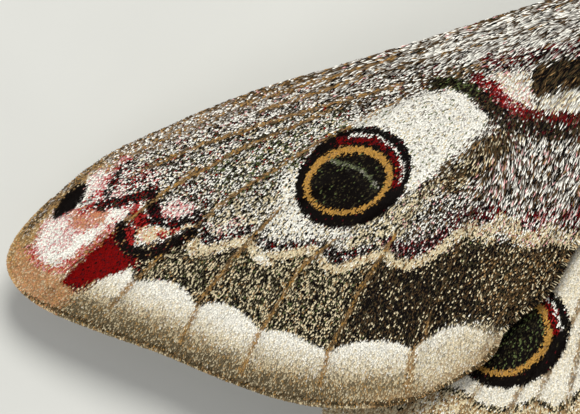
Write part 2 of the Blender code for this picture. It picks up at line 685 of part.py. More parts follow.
def main():
    clear_scene()
    head = build_head()
    thorax = new_object("thorax", tube(body_stations(THORAX_SECTIONS, 1.1), THORAX_SIDES), "coat")
    abdomen = build_abdomen()
    legs, feelers, eyes, forewings, hindwings = [], [], [], [], []
    for name, side in SIDES.items():
        for pair, joints in LEG_JOINTS.items():
            leg = build_leg(f"leg_{pair}_{name}", side, joints)
            clear_of(leg, [thorax.data], HIP_GAP, on_floor=True)
            legs.append(leg.data)
        eyes.append(build_eye(f"eye_{name}", side).data)
        feelers.append(build_antenna(f"antenna_{name}", side).data)
        forewings.append(build_wing(f"forewing_{name}", side, FOREWING_OUTLINE, FOREWING_VEINS,
                                    forewing_middle, "forewing").data)
        hindwings.append(build_wing(f"hindwing_{name}", side, HINDWING_OUTLINE, HINDWING_VEINS,
                                    hindwing_middle, "hindwing").data)
    on_head = coated(head, HEAD_SECTIONS, HEAD_ROWS, HEAD_LOCK, 13)
    on_thorax = coated(thorax, THORAX_SECTIONS, THORAX_ROWS, THORAX_LOCK, 21)
    coated(abdomen, ABDOMEN_SECTIONS, abdomen_rows(), ABDOMEN_LOCK, 12)
    clear_of(head, [*eyes, *feelers], GAP)
    clear_of(thorax, [*forewings, *hindwings, *legs, *on_head], GAP)
    clear_of(abdomen, [*hindwings, *on_thorax], GAP, on_floor=True)


main()
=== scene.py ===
import math

import bmesh
import bpy
import numpy as np
from mathutils import Matrix, Vector
from mathutils.bvhtree import BVHTree


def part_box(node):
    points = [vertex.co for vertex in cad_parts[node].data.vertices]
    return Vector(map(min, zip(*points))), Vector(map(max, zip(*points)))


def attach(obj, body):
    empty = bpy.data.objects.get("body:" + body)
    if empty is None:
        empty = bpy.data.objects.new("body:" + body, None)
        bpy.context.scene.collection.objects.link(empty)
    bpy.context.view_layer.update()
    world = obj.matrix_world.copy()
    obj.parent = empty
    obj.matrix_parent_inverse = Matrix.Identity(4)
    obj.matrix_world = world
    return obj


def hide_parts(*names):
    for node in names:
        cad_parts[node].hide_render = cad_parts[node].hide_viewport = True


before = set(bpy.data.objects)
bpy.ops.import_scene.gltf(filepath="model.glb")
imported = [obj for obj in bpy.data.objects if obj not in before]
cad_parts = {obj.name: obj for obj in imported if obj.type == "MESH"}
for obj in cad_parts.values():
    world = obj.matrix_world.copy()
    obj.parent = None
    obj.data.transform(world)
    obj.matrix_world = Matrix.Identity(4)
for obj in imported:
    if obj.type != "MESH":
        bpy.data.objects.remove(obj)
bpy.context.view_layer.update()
scene = bpy.context.scene
mm = 0.001

# Places are in mm: out from the middle line, back from the wings' hinge, and up from the floor.
# The photograph shows 20 pixels to the mm; markings are given in its pixels and turned into mm.
photo = {"pixelsPerMm": 20.0, "outAtLeftEdge": 38.0, "backAtTopEdge": 0.75, "wide": 580}
hingeToOrigin = 9.02
outlineSteps = 5  # points on a smoothed outline for each point given


def toPhoto(places):
    wide = (photo["outAtLeftEdge"] - places[:, 0]) * photo["pixelsPerMm"]
    high = (places[:, 1] - photo["backAtTopEdge"]) * photo["pixelsPerMm"]
    return np.stack([wide, high], 1)


# Small helpers on plane curves
def nearestOn(points, curve):
    curve = np.array(curve, float)
    gap = np.full(len(points), 1e9)
    foot = np.zeros((len(points), 2))
    heading = np.zeros((len(points), 2))
    for start, end in zip(curve[:-1], curve[1:]):
        run = end - start
        along = np.clip((points - start) @ run / (run @ run), 0, 1)
        spot = start + along[:, None] * run
        away = np.hypot(*(points - spot).T)
        closer = away < gap
        gap[closer] = away[closer]
        foot[closer] = spot[closer]
        heading[closer] = run / np.hypot(*run)
    return gap, foot, heading


def isInside(points, outline):
    inside = np.zeros(len(points), bool)
    ends = np.roll(outline, -1, axis=0)
    for (x0, y0), (x1, y1) in zip(outline, ends):
        if y0 == y1:
            continue
        crosses = (points[:, 1] < y0) != (points[:, 1] < y1)
        inside ^= crosses & (points[:, 0] < x0 + (points[:, 1] - y0) * (x1 - x0) / (y1 - y0))
    return inside


def closed(outline):
    return np.vstack([outline, outline[:1]])


def smoothed(outline):
    # the Catmull-Rom curve through a closed outline, as on the solids
    knots = np.array(outline, float)
    before, after, beyond = (np.roll(knots, move, axis=0) for move in (1, -1, -2))
    curve = []
    for share in np.arange(outlineSteps) / outlineSteps:
        curve.append(0.5 * (2 * knots + (after - before) * share
                            + (2 * before - 5 * knots + 4 * after - beyond) * share ** 2
                            + (3 * knots - before - 3 * after + beyond) * share ** 3))
    return np.stack(curve, 1).reshape(-1, 2)


def softStep(value, edge, soft):
    t = np.clip((edge + soft / 2 - value) / max(soft, 1e-6), 0, 1)
    return t * t * (3 - 2 * t)


# The colours a wing scale or a hair can have, and what they are mixed from
scaleColours = {
    "black": (0.0045, 0.003, 0.0025),
    "olive": (0.036, 0.030, 0.014),
    "brown": (0.085, 0.050, 0.022),
    "grey": (0.17, 0.145, 0.11),
    "pale": (0.42, 0.39, 0.345),
    "white": (0.93, 0.915, 0.83),
    "cream": (0.74, 0.635, 0.41),
    "tan": (0.34, 0.205, 0.085),
    "ochre": (0.50, 0.27, 0.06),
    "orange": (0.60, 0.24, 0.10),
    "red": (0.42, 0.024, 0.022),
    "crimson": (0.19, 0.002, 0.002),
    "wine": (0.085, 0.005, 0.008),
    "pink": (0.70, 0.36, 0.35),
    "moss": (0.11, 0.14, 0.05),
}
colourNames = list(scaleColours)
colourTable = np.array([scaleColours[name] for name in colourNames])


def mixOf(mix):
    shares = np.array([mix.get(name, 0.0) for name in colourNames])
    return shares / shares.sum()


# A marking is a shape in the photograph's pixels and the mix of colours laid there. Its edge is soft,
# its share says how much it covers, and calm how even it looks.
def ground(calm=0.0, **mix):
    return {"calm": calm, "mix": mix}


def stripe(line, half, soft, share=1.0, calm=0.0, **mix):
    return {"line": line, "half": half, "soft": soft, "share": share, "calm": calm, "mix": mix}


def region(area, soft, share=1.0, calm=0.0, **mix):
    return {"area": area, "soft": soft, "share": share, "calm": calm, "mix": mix}


def spot(place, radii, turn, soft, **mix):
    return {"spot": place, "radii": radii, "turn": turn, "soft": soft, "share": 1.0, "calm": 0.0, "mix": mix}


def markMask(pixels, mark):
    soft = mark["soft"]
    if "area" in mark:
        outline = np.array(mark["area"], float)
        gap = nearestOn(pixels, closed(outline))[0]
        depth = np.where(isInside(pixels, outline), gap, -gap)
        mask = softStep(-depth, 0, soft)
    elif "line" in mark:
        mask = softStep(nearestOn(pixels, mark["line"])[0], mark["half"], soft)
    else:
        turn = math.radians(mark["turn"])
        across = pixels - np.array(mark["spot"], float)
        x = across[:, 0] * math.cos(turn) + across[:, 1] * math.sin(turn)
        y = across[:, 1] * math.cos(turn) - across[:, 0] * math.sin(turn)
        wide, high = mark["radii"]
        mask = softStep((np.hypot(x / wide, y / high) - 1) * min(wide, high), 0, soft)
    return mask * mark["share"]


def paint(places, marks, random, ragged):
    # share of each colour at each place, the markings laid one over another, and how even they look
    pixels = toPhoto(places) + random.normal(0, ragged, places.shape)
    shares = np.tile(mixOf(marks[0]["mix"]), (len(places), 1))
    calm = np.full((len(places), 1), marks[0]["calm"])
    for mark in marks[1:]:
        mask = markMask(pixels, mark)[:, None]
        shares += mask * (mixOf(mark["mix"]) - shares)
        calm += mask * (mark["calm"] - calm)
    return shares, calm


def drawn(shares, calm, lots):
    # one colour for each scale by its lot, nearer to the mean colour where the wing looks even
    pick = (np.cumsum(shares, 1) < lots[:, None]).sum(1)
    single = colourTable[np.minimum(pick, len(colourNames) - 1)]
    return single + calm * (shares @ colourTable - single)


# Wings: outlines and veins in mm, as on the solids
forewing = {
    # places in the photograph and the scales' turn there, in degrees from outwards to backwards
    "combing": [
        (30, 250, 40), (60, 220, 38), (60, 290, 50), (100, 170, 30), (110, 240, 42), (150, 200, 36),
        (130, 300, 55), (170, 150, 32), (230, 110, 24), (230, 150, 40), (230, 190, 42), (200, 290, 52),
        (200, 340, 60), (300, 85, 20), (300, 115, 28), (270, 330, 62), (300, 230, 52), (300, 290, 60),
        (350, 180, 38), (350, 240, 50), (360, 300, 66), (350, 370, 76), (400, 55, 18), (400, 85, 24),
        (420, 140, 38), (420, 220, 58), (400, 330, 72), (430, 350, 64), (450, 180, 40), (460, 280, 60),
        (480, 75, 30), (500, 25, 16), (500, 100, 52), (505, 145, 96), (520, 85, 62), (520, 180, 82),
        (520, 270, 54), (545, 250, 60), (550, 110, 76), (560, 15, 14), (560, 45, 42), (560, 80, 60),
        (560, 175, 74), (560, 215, 62), (620, 30, 30), (640, 100, 62), (640, 170, 66)],
    "node": "forewing", "seed": 11, "pole": (1.0, -4.5), "drop": 0.2, "thick": 0.09,
    "scales": {"rowStep": 0.098, "gapInRow": 0.050, "long": 0.180, "wide": 0.060, "lift": 0.030},
    "pieces": {"Inner": (0, 19.5), "Outer": (19.5, 60)}, "fringe": [(7, .05), (9, .12), (20, .14), (26, .30)],
    "outline": [(2.4, -1.2), (5.5, -0.8), (10.6, 0.75), (18.5, 3.25), (25.5, 5.35), (31.25, 7.75),
                (33.5, 9.0), (35.5, 10.7), (37.0, 12.3), (37.6, 13.5), (37.55, 14.4), (36.9, 15.35),
                (35.5, 16.3), (33.0, 17.3), (30.0, 18.35), (26.5, 19.8), (23.5, 20.75), (21.0, 21.05),
                (18.0, 20.85), (16.0, 20.05), (14.4, 19.15), (13.4, 18.3), (13.1, 17.5), (12.35, 16.65),
                (10.55, 15.1), (9.5, 13.1), (7.0, 9.75), (4.5, 5.25), (3.0, 2.2), (2.4, 1.4)],
    "veins": {
        "costa": [(2.8, -0.75), (5.6, -0.35), (10.6, 1.2), (18.4, 3.7), (25.3, 5.8), (30.8, 8.1),
                  (33.1, 9.5), (35.1, 11.2)],
        "subcosta": [(2.8, -0.3), (9, 1.6), (15, 3.25), (20, 4.7), (25, 6.3)],
        "radiusOne": [(13, 3.85), (18, 5.0), (23, 6.4), (28, 8.0), (33, 10.2), (35.2, 12.4)],
        "radiusFive": [(14.5, 4.35), (21.5, 6.3), (26, 8.2), (29.75, 10.3), (33, 12.75), (35.4, 15)],
        "mediaOne": [(2.8, 0.1), (9, 2.75), (14.5, 4.35), (18, 5.75), (22.5, 8.15), (26.5, 10.6),
                     (29.75, 13.35), (31.9, 15.4), (32.9, 17)],
        "mediaTwo": [(20.75, 9.65), (23.75, 10.9), (26, 13.25), (28, 15.75), (29.1, 18.1)],
        "mediaThree": [(18.75, 11), (20.5, 12.1), (23, 14.15), (24.9, 17.25), (25.6, 19.6)],
        "cubitusOne": [(2.8, 0.55), (6, 2.6), (9.5, 4.9), (12.5, 7), (16, 9.25), (18.25, 12.5),
                       (20, 15.25), (21.75, 18.75), (22.2, 20.4)],
        "cubitusTwo": [(12.5, 7), (14.2, 10.6), (15.25, 13.5), (16.6, 16.85), (17.6, 20.2)],
        "anal": [(2.8, 1), (6.4, 6.4), (9.4, 10.6), (11.25, 13.75), (13.9, 17.9)],
    },
}
hindwing = {
    "combing": [],
    "node": "hindwing", "seed": 23, "pole": (1.5, 0.0), "drop": 0.12, "thick": 0.09,
    "scales": {"rowStep": 0.090, "gapInRow": 0.065, "long": 0.18, "wide": 0.075, "lift": 0.032},
    "pieces": {"": (0, 60)}, "fringe": [(4, .06), (6, .26), (13, .30), (17, .70)],
    "outline": [(2.6, 3.2), (5, 4.2), (9, 7.6), (13.5, 12), (17.5, 15.8), (20.4, 18.8), (21.6, 21.3),
                (21.3, 23.8), (19.8, 26.2), (17, 28.3), (13.6, 29.3), (10.2, 29.1), (7.6, 27.7),
                (6.1, 25.4), (5.4, 21.5), (5.2, 16), (5.1, 11), (4.3, 7.6), (2.6, 6)],
    "veins": {
        "subcosta": [(3.2, 3.9), (6, 5.8), (11, 10.6), (16.5, 15.8), (20.6, 20.6)],
        "mediaOne": [(3.2, 4.4), (8.2, 9.8), (12.6, 14.8), (17, 20), (20, 25.2)],
        "mediaTwo": [(12.15, 17.3), (15, 21.6), (17.6, 27.2)],
        "mediaThree": [(10.4, 17.4), (13.2, 22.4), (15.6, 28.2)],
        "cubitusOne": [(3.2, 4.9), (6.9, 10.8), (9.1, 16.25), (11.1, 20.5), (13.2, 28.6)],
        "cubitusTwo": [(7.6, 12.4), (8.9, 17.5), (10, 22.5), (10.6, 28.4)],
        "anal": [(3.2, 5.3), (5.9, 10.6), (6.9, 17), (7.7, 23), (8.2, 27.4)],
    },
}


veinEdge = 2.2  # pixels over which a vein's colour fades out


def veinMarks(wing, half, share, calm, clearFrom, **mix):
    # faint under the long scales near the body, and clear further out
    marks = []
    for vein in wing["veins"].values():
        line = toPhoto(np.array(vein, float))
        marks.append(stripe(line, half, veinEdge, share * 0.55, brown=.6, tan=.2, olive=.2))
        outer = line[np.array(vein)[:, 0] >= clearFrom]
        if len(outer) > 1:
            marks.append(stripe(outer, half, veinEdge, share, calm, **mix))
    return marks


forewingMargin = [(60, 312), (100, 328), (160, 349), (220, 376), (270, 393), (330, 403), (400, 403),
                  (440, 390), (475, 370), (495, 345)]
lunuleEdge = [(96, 284), (104, 277), (120, 272), (131, 268), (133, 283), (145, 281), (160, 281), (175, 284),
              (185, 292), (191, 300), (196, 309), (206, 304), (220, 303), (235, 308), (247, 317), (259, 332),
              (270, 331), (285, 332), (305, 341), (327, 353), (340, 347), (360, 342), (385, 341), (400, 344),
              (412, 351), (422, 343), (435, 333), (448, 327), (460, 325), (478, 330), (496, 341)]
moonVeins = [[(131, 284), (122, 294), (110, 306)], [(197, 309), (189, 324), (180, 342)],
             [(259, 333), (250, 352), (240, 375)], [(328, 352), (324, 368), (319, 386)]]
zigzag = [(187, 237), (190, 250), (202, 251), (220, 247), (240, 242), (249, 244), (254, 252), (263, 258),
          (276, 257), (292, 254), (310, 250), (318, 256), (326, 267), (340, 270), (358, 262), (376, 256),
          (386, 253), (391, 262), (405, 265), (420, 262), (432, 254), (446, 245), (456, 236), (470, 229)]
zigzagToBase = [(470, 229), (486, 235), (500, 223), (512, 226), (518, 238), (536, 240), (547, 234),
                (568, 240), (592, 242), (630, 226)]

forewingMarks = [
    # the ground, grey hair-like scales with brown and black ones between
    ground(white=.36, pale=.07, grey=.04, brown=.19, olive=.04, black=.25, wine=.03, pink=.02),
    stripe([(712, -30), (600, -10), (540, 4), (400, 41), (300, 79), (200, 110), (120, 146)], 22, 18, share=.8,
           white=.36, pale=.12, grey=.06, brown=.24, tan=.06, pink=.05, black=.11),
    region([(712, -20), (560, 5), (460, 30), (400, 60), (460, 65), (520, 52), (600, 40), (712, 20)], 20,
           share=.9, white=.58, pale=.12, brown=.22, black=.08),
    # more black among the white, from the eyespot to the tip
    region([(130, 156), (250, 125), (320, 104), (355, 100), (340, 124), (300, 160), (285, 200), (262, 238),
            (200, 228), (160, 215), (120, 200)], 16, share=.95, white=.28, cream=.06, pale=.02, olive=.31,
           black=.28, crimson=.04, red=.01),
    region([(200, 160), (290, 135), (340, 112), (352, 120), (300, 162), (289, 200), (230, 210)], 14, share=.8,
           white=.26, cream=.10, moss=.14, olive=.19, black=.29, crimson=.02),
    region([(205, 212), (250, 196), (292, 190), (296, 226), (345, 236), (330, 252), (262, 250), (205, 238)],
           10, cream=.25, white=.20, black=.34, olive=.21),
    region([(345, 232), (378, 216), (412, 190), (440, 174), (432, 200), (404, 236), (388, 256), (345, 252)],
           10, cream=.40, white=.12, black=.28, olive=.18, pink=.02),
    # behind the cell, white and black strands with some pink
    region([(404, 236), (432, 196), (470, 165), (520, 140), (712, 138), (712, 240), (600, 225), (540, 232),
            (505, 218), (470, 222), (445, 240), (400, 255)], 12, white=.26, pale=.02, black=.44, olive=.06,
           brown=.15, pink=.04, tan=.03),
    region([(470, 170), (520, 142), (712, 140), (712, 215), (540, 220), (480, 205)], 16, share=.8, white=.28,
           pale=.05, grey=.02, brown=.26, black=.32, pink=.05, tan=.02),
    region([(432, 182), (470, 150), (500, 132), (520, 140), (500, 160), (450, 196)], 12, share=.9, tan=.07,
           cream=.20, brown=.30, olive=.19, black=.24),
    # dark band inside the white moons
    region([(124, 262), (140, 247), (186, 238), (192, 256), (220, 252), (250, 248), (262, 263), (310, 256),
            (326, 273), (356, 268), (382, 260), (394, 269), (420, 267), (450, 250), (468, 234), (488, 243),
            (520, 246), (545, 242), (580, 248), (620, 232), (600, 262), (560, 300),
            (500, 346)] + lunuleEdge[::-1][:-4], 5, black=.48, cream=.24, tan=.05, olive=.20, moss=.03),
    region([(372, 262), (420, 262), (470, 238), (520, 246), (640, 240), (600, 270), (500, 348), (478, 332),
            (412, 352), (385, 342), (340, 346), (350, 300)], 36, black=.64, brown=.17, olive=.12, cream=.07),
    region([(480, 258), (530, 246), (570, 250), (560, 275), (510, 318), (480, 312), (474, 280)], 24,
           share=.85, black=.36, brown=.24, olive=.18, cream=.12, tan=.10),
    # black line on the zigzag's inner side, with some red
    stripe([(152, 221), (172, 219), (198, 215)], 4.5, 3, black=.78, crimson=.12, white=.10),
    stripe([(200, 240), (216, 240), (240, 233), (252, 228)], 4.5, 4, black=.70, crimson=.10, white=.20),
    stripe([(260, 242), (276, 247), (296, 245), (314, 241)], 4.5, 4, black=.68, crimson=.12, white=.20),
    stripe([(322, 248), (334, 257), (352, 256), (372, 248)], 6, 4, black=.66, crimson=.10, olive=.08,
           white=.16),
    stripe([(388, 243), (402, 250), (420, 250), (446, 235)], 6.5, 5, black=.58, wine=.20, crimson=.06,
           pink=.05, white=.11),
    stripe([(455, 222), (475, 216), (498, 212)], 9, 8, share=.85, black=.40, wine=.28, crimson=.08, pale=.10,
           white=.14),
    stripe([(522, 226), (545, 216), (575, 218), (610, 212)], 9, 9, share=.8, black=.36, wine=.24, crimson=.10,
           pink=.12, white=.18),
    # the cream zigzag
    stripe(zigzag, 4.4, 4, cream=.64, white=.09, tan=.18, olive=.09),
    stripe(zigzagToBase, 8, 7, share=.9, cream=.46, white=.14, tan=.20, pink=.06, olive=.14),
    stripe([(206, 229), (222, 229), (238, 222)], 5, 6, share=.8, white=.36, pink=.18, cream=.16, black=.26,
           crimson=.04),
    region([(266, 212), (284, 204), (300, 222), (318, 236), (300, 243), (278, 243), (266, 236)], 7, share=.8,
           white=.58, cream=.14, olive=.10, black=.18),
    stripe([(258, 258), (266, 262)], 4, 4, share=.8, white=.8, cream=.2),
]
forewingMarks += veinMarks(forewing, 1.5, .9, .4, 16.2, tan=.42, brown=.36, ochre=.22)
forewingMarks += [
    # tip: ochre border, white and pink field, crimson field, black marks
    stripe([(230, 102), (160, 134), (120, 149), (90, 167)], 12, 12, share=.7, tan=.30, pale=.24, brown=.20,
           white=.16, grey=.10),
    stripe([(90, 167), (60, 192), (32, 227), (12, 258), (14, 284), (34, 300), (62, 311), (84, 320)], 16, 10,
           calm=.3, tan=.46, ochre=.22, cream=.18, brown=.14),
    region([(14, 250), (30, 262), (48, 272), (66, 276), (100, 288), (90, 318), (40, 304), (10, 285)], 10,
           calm=.5, tan=.40, ochre=.14, orange=.18, cream=.24, pink=.04),
    region([(30, 250), (42, 222), (54, 210), (76, 205), (96, 190), (104, 176), (116, 168), (128, 168),
            (118, 186), (140, 200), (126, 215), (100, 238), (80, 252), (62, 267), (44, 268), (32, 262)], 7,
           calm=.2, white=.50, pink=.32, red=.15, pale=.03),
    region([(36, 246), (46, 222), (60, 220), (58, 240), (54, 262), (42, 260)], 8, white=.80, pink=.20),
    stripe([(136, 203), (112, 217), (92, 231), (68, 256), (50, 262)], 7, 6, white=.90, pink=.10),
    region([(70, 214), (88, 206), (108, 209), (104, 222), (84, 232), (68, 228)], 8, calm=.3, orange=.48,
           tan=.12, pink=.22, red=.12, white=.06),
    stripe([(27, 250), (30, 260), (38, 268), (48, 273), (64, 268), (84, 252)], 5, 6, share=.9, red=.38,
           pink=.34, tan=.28),
    stripe([(80, 212), (100, 203), (112, 204), (136, 206)], 4, 5, share=.8, red=.45, crimson=.2, white=.2,
           black=.15),
    stripe([(118, 182), (150, 178)], 10, 14, share=.75, black=.34, red=.14, crimson=.10, white=.36, pink=.06),
    stripe([(98, 206), (112, 203), (130, 200), (152, 193)], 5.5, 4, black=.72, crimson=.16, olive=.06,
           white=.06),
    stripe([(80, 203), (92, 192), (104, 186)], 6, 6, share=.8, white=.40, pale=.26, black=.24, red=.10),
    spot((95, 181), (15, 8), -42, 6, white=.60, pink=.28, pale=.12),
    spot((69, 201), (23.5, 8), -47, 3, black=1),
    stripe([(136, 216), (142, 226)], 8, 6, red=.45, crimson=.30, black=.25),
    stripe([(153, 196), (153, 210), (158, 219)], 6, 4, black=.86, wine=.14),
    region([(161, 207), (176, 201), (194, 204), (192, 213), (176, 218), (162, 216)], 6, white=.50, pink=.36,
           red=.08, black=.06),
    region([(137, 231), (147, 226), (161, 228), (168, 232), (150, 243), (136, 243)], 4, cream=.62, orange=.14,
           white=.16, pink=.08),
    stripe([(160, 235), (176, 230)], 3, 3, red=.6, cream=.2, black=.2),
    stripe([(154, 220), (164, 225), (180, 224), (200, 219)], 3.4, 3, black=.84, crimson=.08, white=.08),
    stripe([(203, 222), (205, 232), (209, 241)], 2.6, 3, black=.76, crimson=.08, white=.16),
    stripe([(189, 229), (193, 238), (195, 249)], 5.5, 4, cream=.64, white=.09, tan=.18, olive=.09),
    stripe([(126, 160), (113, 171), (104, 183), (96, 197)], 4, 6, share=.8, red=.38, crimson=.16, pink=.28,
           white=.18),
    stripe([(130, 163), (120, 171), (113, 181), (107, 193)], 4.5, 5, share=.85, black=.62, olive=.12,
           crimson=.08, white=.18),
    stripe([(200, 167), (176, 184), (150, 203), (122, 225), (100, 243), (74, 265), (46, 300)], 1.7, 2,
           share=.85, tan=.52, brown=.30, ochre=.18),
]
forewingMarks += [
    # white moons and the border
    region(lunuleEdge + forewingMargin[::-1], 2.5, calm=.5, white=.84, cream=.12, pale=.04),
    stripe(forewingMargin[:-1], 44, 28, share=.9, calm=.45, cream=.60, white=.22, tan=.10, olive=.08),
    stripe([(380, 403), (420, 398), (450, 384), (480, 366)], 21, 20, share=.8, calm=.45, cream=.54, tan=.28,
           white=.14, brown=.04),
    stripe(forewingMargin[:7], 28, 24, share=.95, calm=.45, cream=.34, ochre=.12, tan=.12, olive=.38,
           black=.04),
    stripe(forewingMargin[:6], 15, 18, share=.9, calm=.45, olive=.50, tan=.12, ochre=.05, cream=.20,
           black=.13),
    # tan and brown along the rolled lower edge at the tornus: painted shade of the curl, over the border's
    # own tan and brown
    stripe([(376, 405), (420, 399), (450, 385), (480, 367), (497, 348)], 11, 12, share=.75, calm=.5, tan=.50,
           brown=.16, cream=.34),
    stripe([(376, 405), (420, 399), (450, 385), (480, 367), (497, 348)], 3.4, 4, share=.85, brown=.50,
           olive=.36, tan=.14),
    region([(6, 262), (16, 246), (30, 260), (48, 271), (64, 279), (74, 288), (66, 302), (50, 312), (20, 300)],
           16, share=.9, calm=.5, tan=.32, orange=.42, ochre=.08, cream=.18),
    region([(60, 284), (75, 266), (96, 248), (112, 232), (124, 228), (132, 240), (136, 262), (120, 273),
            (100, 279), (86, 286), (76, 290)], 3, crimson=.84, wine=.11, black=.05),
    stripe([(112, 236), (126, 248), (134, 264)], 6, 14, share=.55, crimson=.35, wine=.30, black=.35),
    stripe([(30, 256), (38, 266), (50, 271), (64, 269), (80, 256), (96, 242), (116, 224)], 4, 8, share=.65,
           red=.42, pink=.30, orange=.18, tan=.10),
    stripe([(68, 287), (78, 291), (92, 284)], 3, 4, share=.7, wine=.5, black=.2, tan=.3),
    stripe([(121, 226), (120, 238), (126, 250), (142, 257), (158, 250), (176, 242), (192, 233)], 6, 5,
           black=.90, wine=.04, tan=.06),
    stripe([(129, 230), (131, 242)], 3.5, 3, red=.5, crimson=.2, black=.3),
    stripe([(16, 290), (30, 300), (60, 313), (100, 329), (160, 350), (220, 377), (270, 394), (330, 404),
            (400, 404), (440, 391), (480, 367)], 1.6, 2, share=.8, olive=.45, brown=.35, tan=.20),
    *(stripe(vein, 2.0, 3, share=.85, calm=.4, tan=.60, brown=.15, ochre=.25) for vein in moonVeins),
    stripe([(413, 350), (410, 366), (407, 392)], 4, 5, share=.8, tan=.7, brown=.1, cream=.2),
    # costa
    stripe([(712, -39), (540, 5), (400, 42), (300, 80), (200, 110), (120, 146), (60, 191), (24, 232)], 3.4, 3,
           share=.85, brown=.50, tan=.18, olive=.14, pale=.18),
    # base: black band with crimson on its inner side, white fields, brown field
    region([(484, 78), (500, 71), (522, 74), (532, 86), (532, 106), (522, 114), (508, 102), (497, 88)], 8,
           white=.50, pale=.16, pink=.12, cream=.12, tan=.10),
    region([(533, 112), (546, 99), (562, 93), (610, 90), (650, 96), (650, 122), (590, 119), (545, 114)], 9,
           white=.42, cream=.22, pale=.20, grey=.10, tan=.06),
    region([(528, 90), (534, 66), (560, 60), (610, 55), (660, 62), (660, 90), (610, 92), (560, 92),
            (536, 98)], 10, black=.48, olive=.24, brown=.24, tan=.04),
    stripe([(486, 62), (508, 64), (530, 58), (560, 50), (610, 42)], 7, 8, share=.85, wine=.26, black=.34,
           crimson=.06, pale=.16, white=.18),
    stripe([(436, 84), (456, 86), (470, 91), (482, 99), (492, 108)], 7, 6, black=.50, olive=.34, moss=.16),
    stripe([(486, 102), (496, 113), (510, 122), (530, 128), (560, 131), (600, 134), (660, 138)], 11, 10,
           share=.94, black=.54, olive=.20, brown=.17, wine=.05, pale=.04),
    stripe([(476, 79), (486, 85), (496, 93), (504, 101), (512, 108), (524, 114)], 6, 7, share=.9, red=.08,
           crimson=.38, pink=.12, wine=.32, black=.10),
    stripe([(526, 115), (546, 117), (580, 122), (620, 126), (660, 130)], 5, 6, share=.85, crimson=.28,
           wine=.42, black=.18, brown=.12),
    # white patch in the cell, round the eyespot
    region([(352, 124), (375, 113), (402, 101), (430, 93), (448, 89), (464, 96), (476, 106), (488, 120),
            (480, 134), (462, 146), (446, 160), (436, 170), (420, 184), (410, 194), (398, 180), (360, 132)],
           6, white=.76, cream=.07, pale=.09, moss=.05, grey=.03),
    stripe([(290, 176), (286, 204), (302, 222), (322, 232), (344, 232)], 8, 8, share=.85, white=.70,
           cream=.14, olive=.08, black=.08),
    # the eyespot
    spot((353, 178), (61.7, 46.5), -31, 2.5, black=.96, olive=.02, wine=.02),
    spot((348, 180.5), (44.8, 33.4), -17, 2, ochre=.94, tan=.06),
    spot((347.5, 182), (39.6, 27.4), -17, 2, black=.84, olive=.14, moss=.02),
    stripe([(338, 143), (352, 139), (366, 139), (380, 143), (390, 150), (396, 160), (398, 172), (395, 184)],
           4, 3, black=.40, crimson=.40, wine=.20),
    stripe([(349, 137), (358, 135), (371, 136), (380, 138), (389, 145), (397, 152), (401, 162), (403, 172),
            (400, 182)], 1.3, 1.5, white=.66, crimson=.14, black=.20),
    stripe([(331, 160), (340, 164), (351, 166), (362, 171), (370, 179), (376, 188)], 1.8, 2, calm=.5,
           moss=.56, pale=.22, black=.22),
]

hindMargin = [(330, 405), (325, 440), (345, 480), (390, 530), (450, 570), (510, 583), (570, 575), (615, 550)]
hindMoons = [(345, 395), (358, 420), (372, 436), (396, 440), (410, 462), (428, 486), (456, 490), (474, 508),
             (494, 520), (520, 512), (540, 514), (560, 520), (580, 508), (606, 500), (640, 488)]
hindLine = [(372, 394), (385, 402), (398, 411), (414, 400), (430, 391), (446, 390), (460, 391), (468, 399),
            (480, 407), (500, 411), (520, 408), (535, 400), (546, 406), (556, 410), (570, 402), (582, 391),
            (600, 396), (620, 388), (650, 380)]
hindwingMarks = [
    ground(calm=.55, white=.48, cream=.47, pale=.02, tan=.03),
    region([(712, 49), (640, 60), (520, 150), (440, 250), (400, 320), (560, 230), (712, 200)], 40, share=.3,
           calm=.4, pale=.30, white=.36, grey=.18, brown=.10, black=.06),
    stripe([(380, 385), (420, 378), (470, 388), (500, 396), (560, 388), (600, 372), (650, 360)], 12, 14,
           share=.8, calm=.6, white=.72, cream=.28),
    region(hindLine + [(690, 380), (690, 600), (300, 600), (300, 380)], 6, cream=.52, tan=.30, white=.08,
           grey=.06, olive=.04),
    stripe([(375, 424), (395, 434), (420, 432), (450, 434), (470, 446), (500, 454), (530, 450), (560, 454),
            (600, 440), (650, 428)], 14, 14, share=.85, grey=.24, olive=.26, black=.18, cream=.26, tan=.06),
    stripe([(400, 440), (440, 462), (500, 484), (560, 484), (620, 470)], 24, 16, share=.9, grey=.26,
           olive=.22, black=.26, cream=.22, tan=.04),
    region(hindMoons + [(700, 500), (700, 620), (300, 620), (300, 400)], 5, white=.58, cream=.30, tan=.12),
    stripe(hindMargin[1:], 22, 24, share=.85, cream=.34, tan=.26, grey=.30, olive=.10),
    stripe(hindMargin[1:], 5, 6, brown=.30, olive=.40, grey=.20, tan=.10),
    stripe([(326, 400), (345, 410), (380, 418), (400, 422)], 14, 10, share=.9, calm=.4, cream=.62, tan=.26,
           olive=.12),
    stripe(hindLine, 3, 3, share=.9, olive=.44, black=.30, cream=.26),
]
hindwingMarks += veinMarks(hindwing, 2.2, .6, .5, 2, tan=.60, brown=.20, cream=.20)
hindwingMarks += [
    spot((513, 336), (60, 50), -32, 2.5, black=.97, olive=.02, wine=.01),
    spot((509, 336), (46, 38), -32, 2, ochre=.92, tan=.08),
    spot((506.5, 336), (41, 33), -32, 2, black=.74, olive=.15, moss=.11),
    stripe([(540, 298), (548, 306), (552, 318), (555, 332)], 3.5, 3, crimson=.5, black=.4, red=.1),
    stripe([(530, 288), (545, 296), (552, 303), (556, 310), (558, 318), (560, 331)], 1.8, 2, white=.58,
           crimson=.24, black=.18),
]
forewing["marks"], hindwing["marks"] = forewingMarks, hindwingMarks
for wing in (forewing, hindwing):
    wing["outline"] = smoothed(wing["outline"])


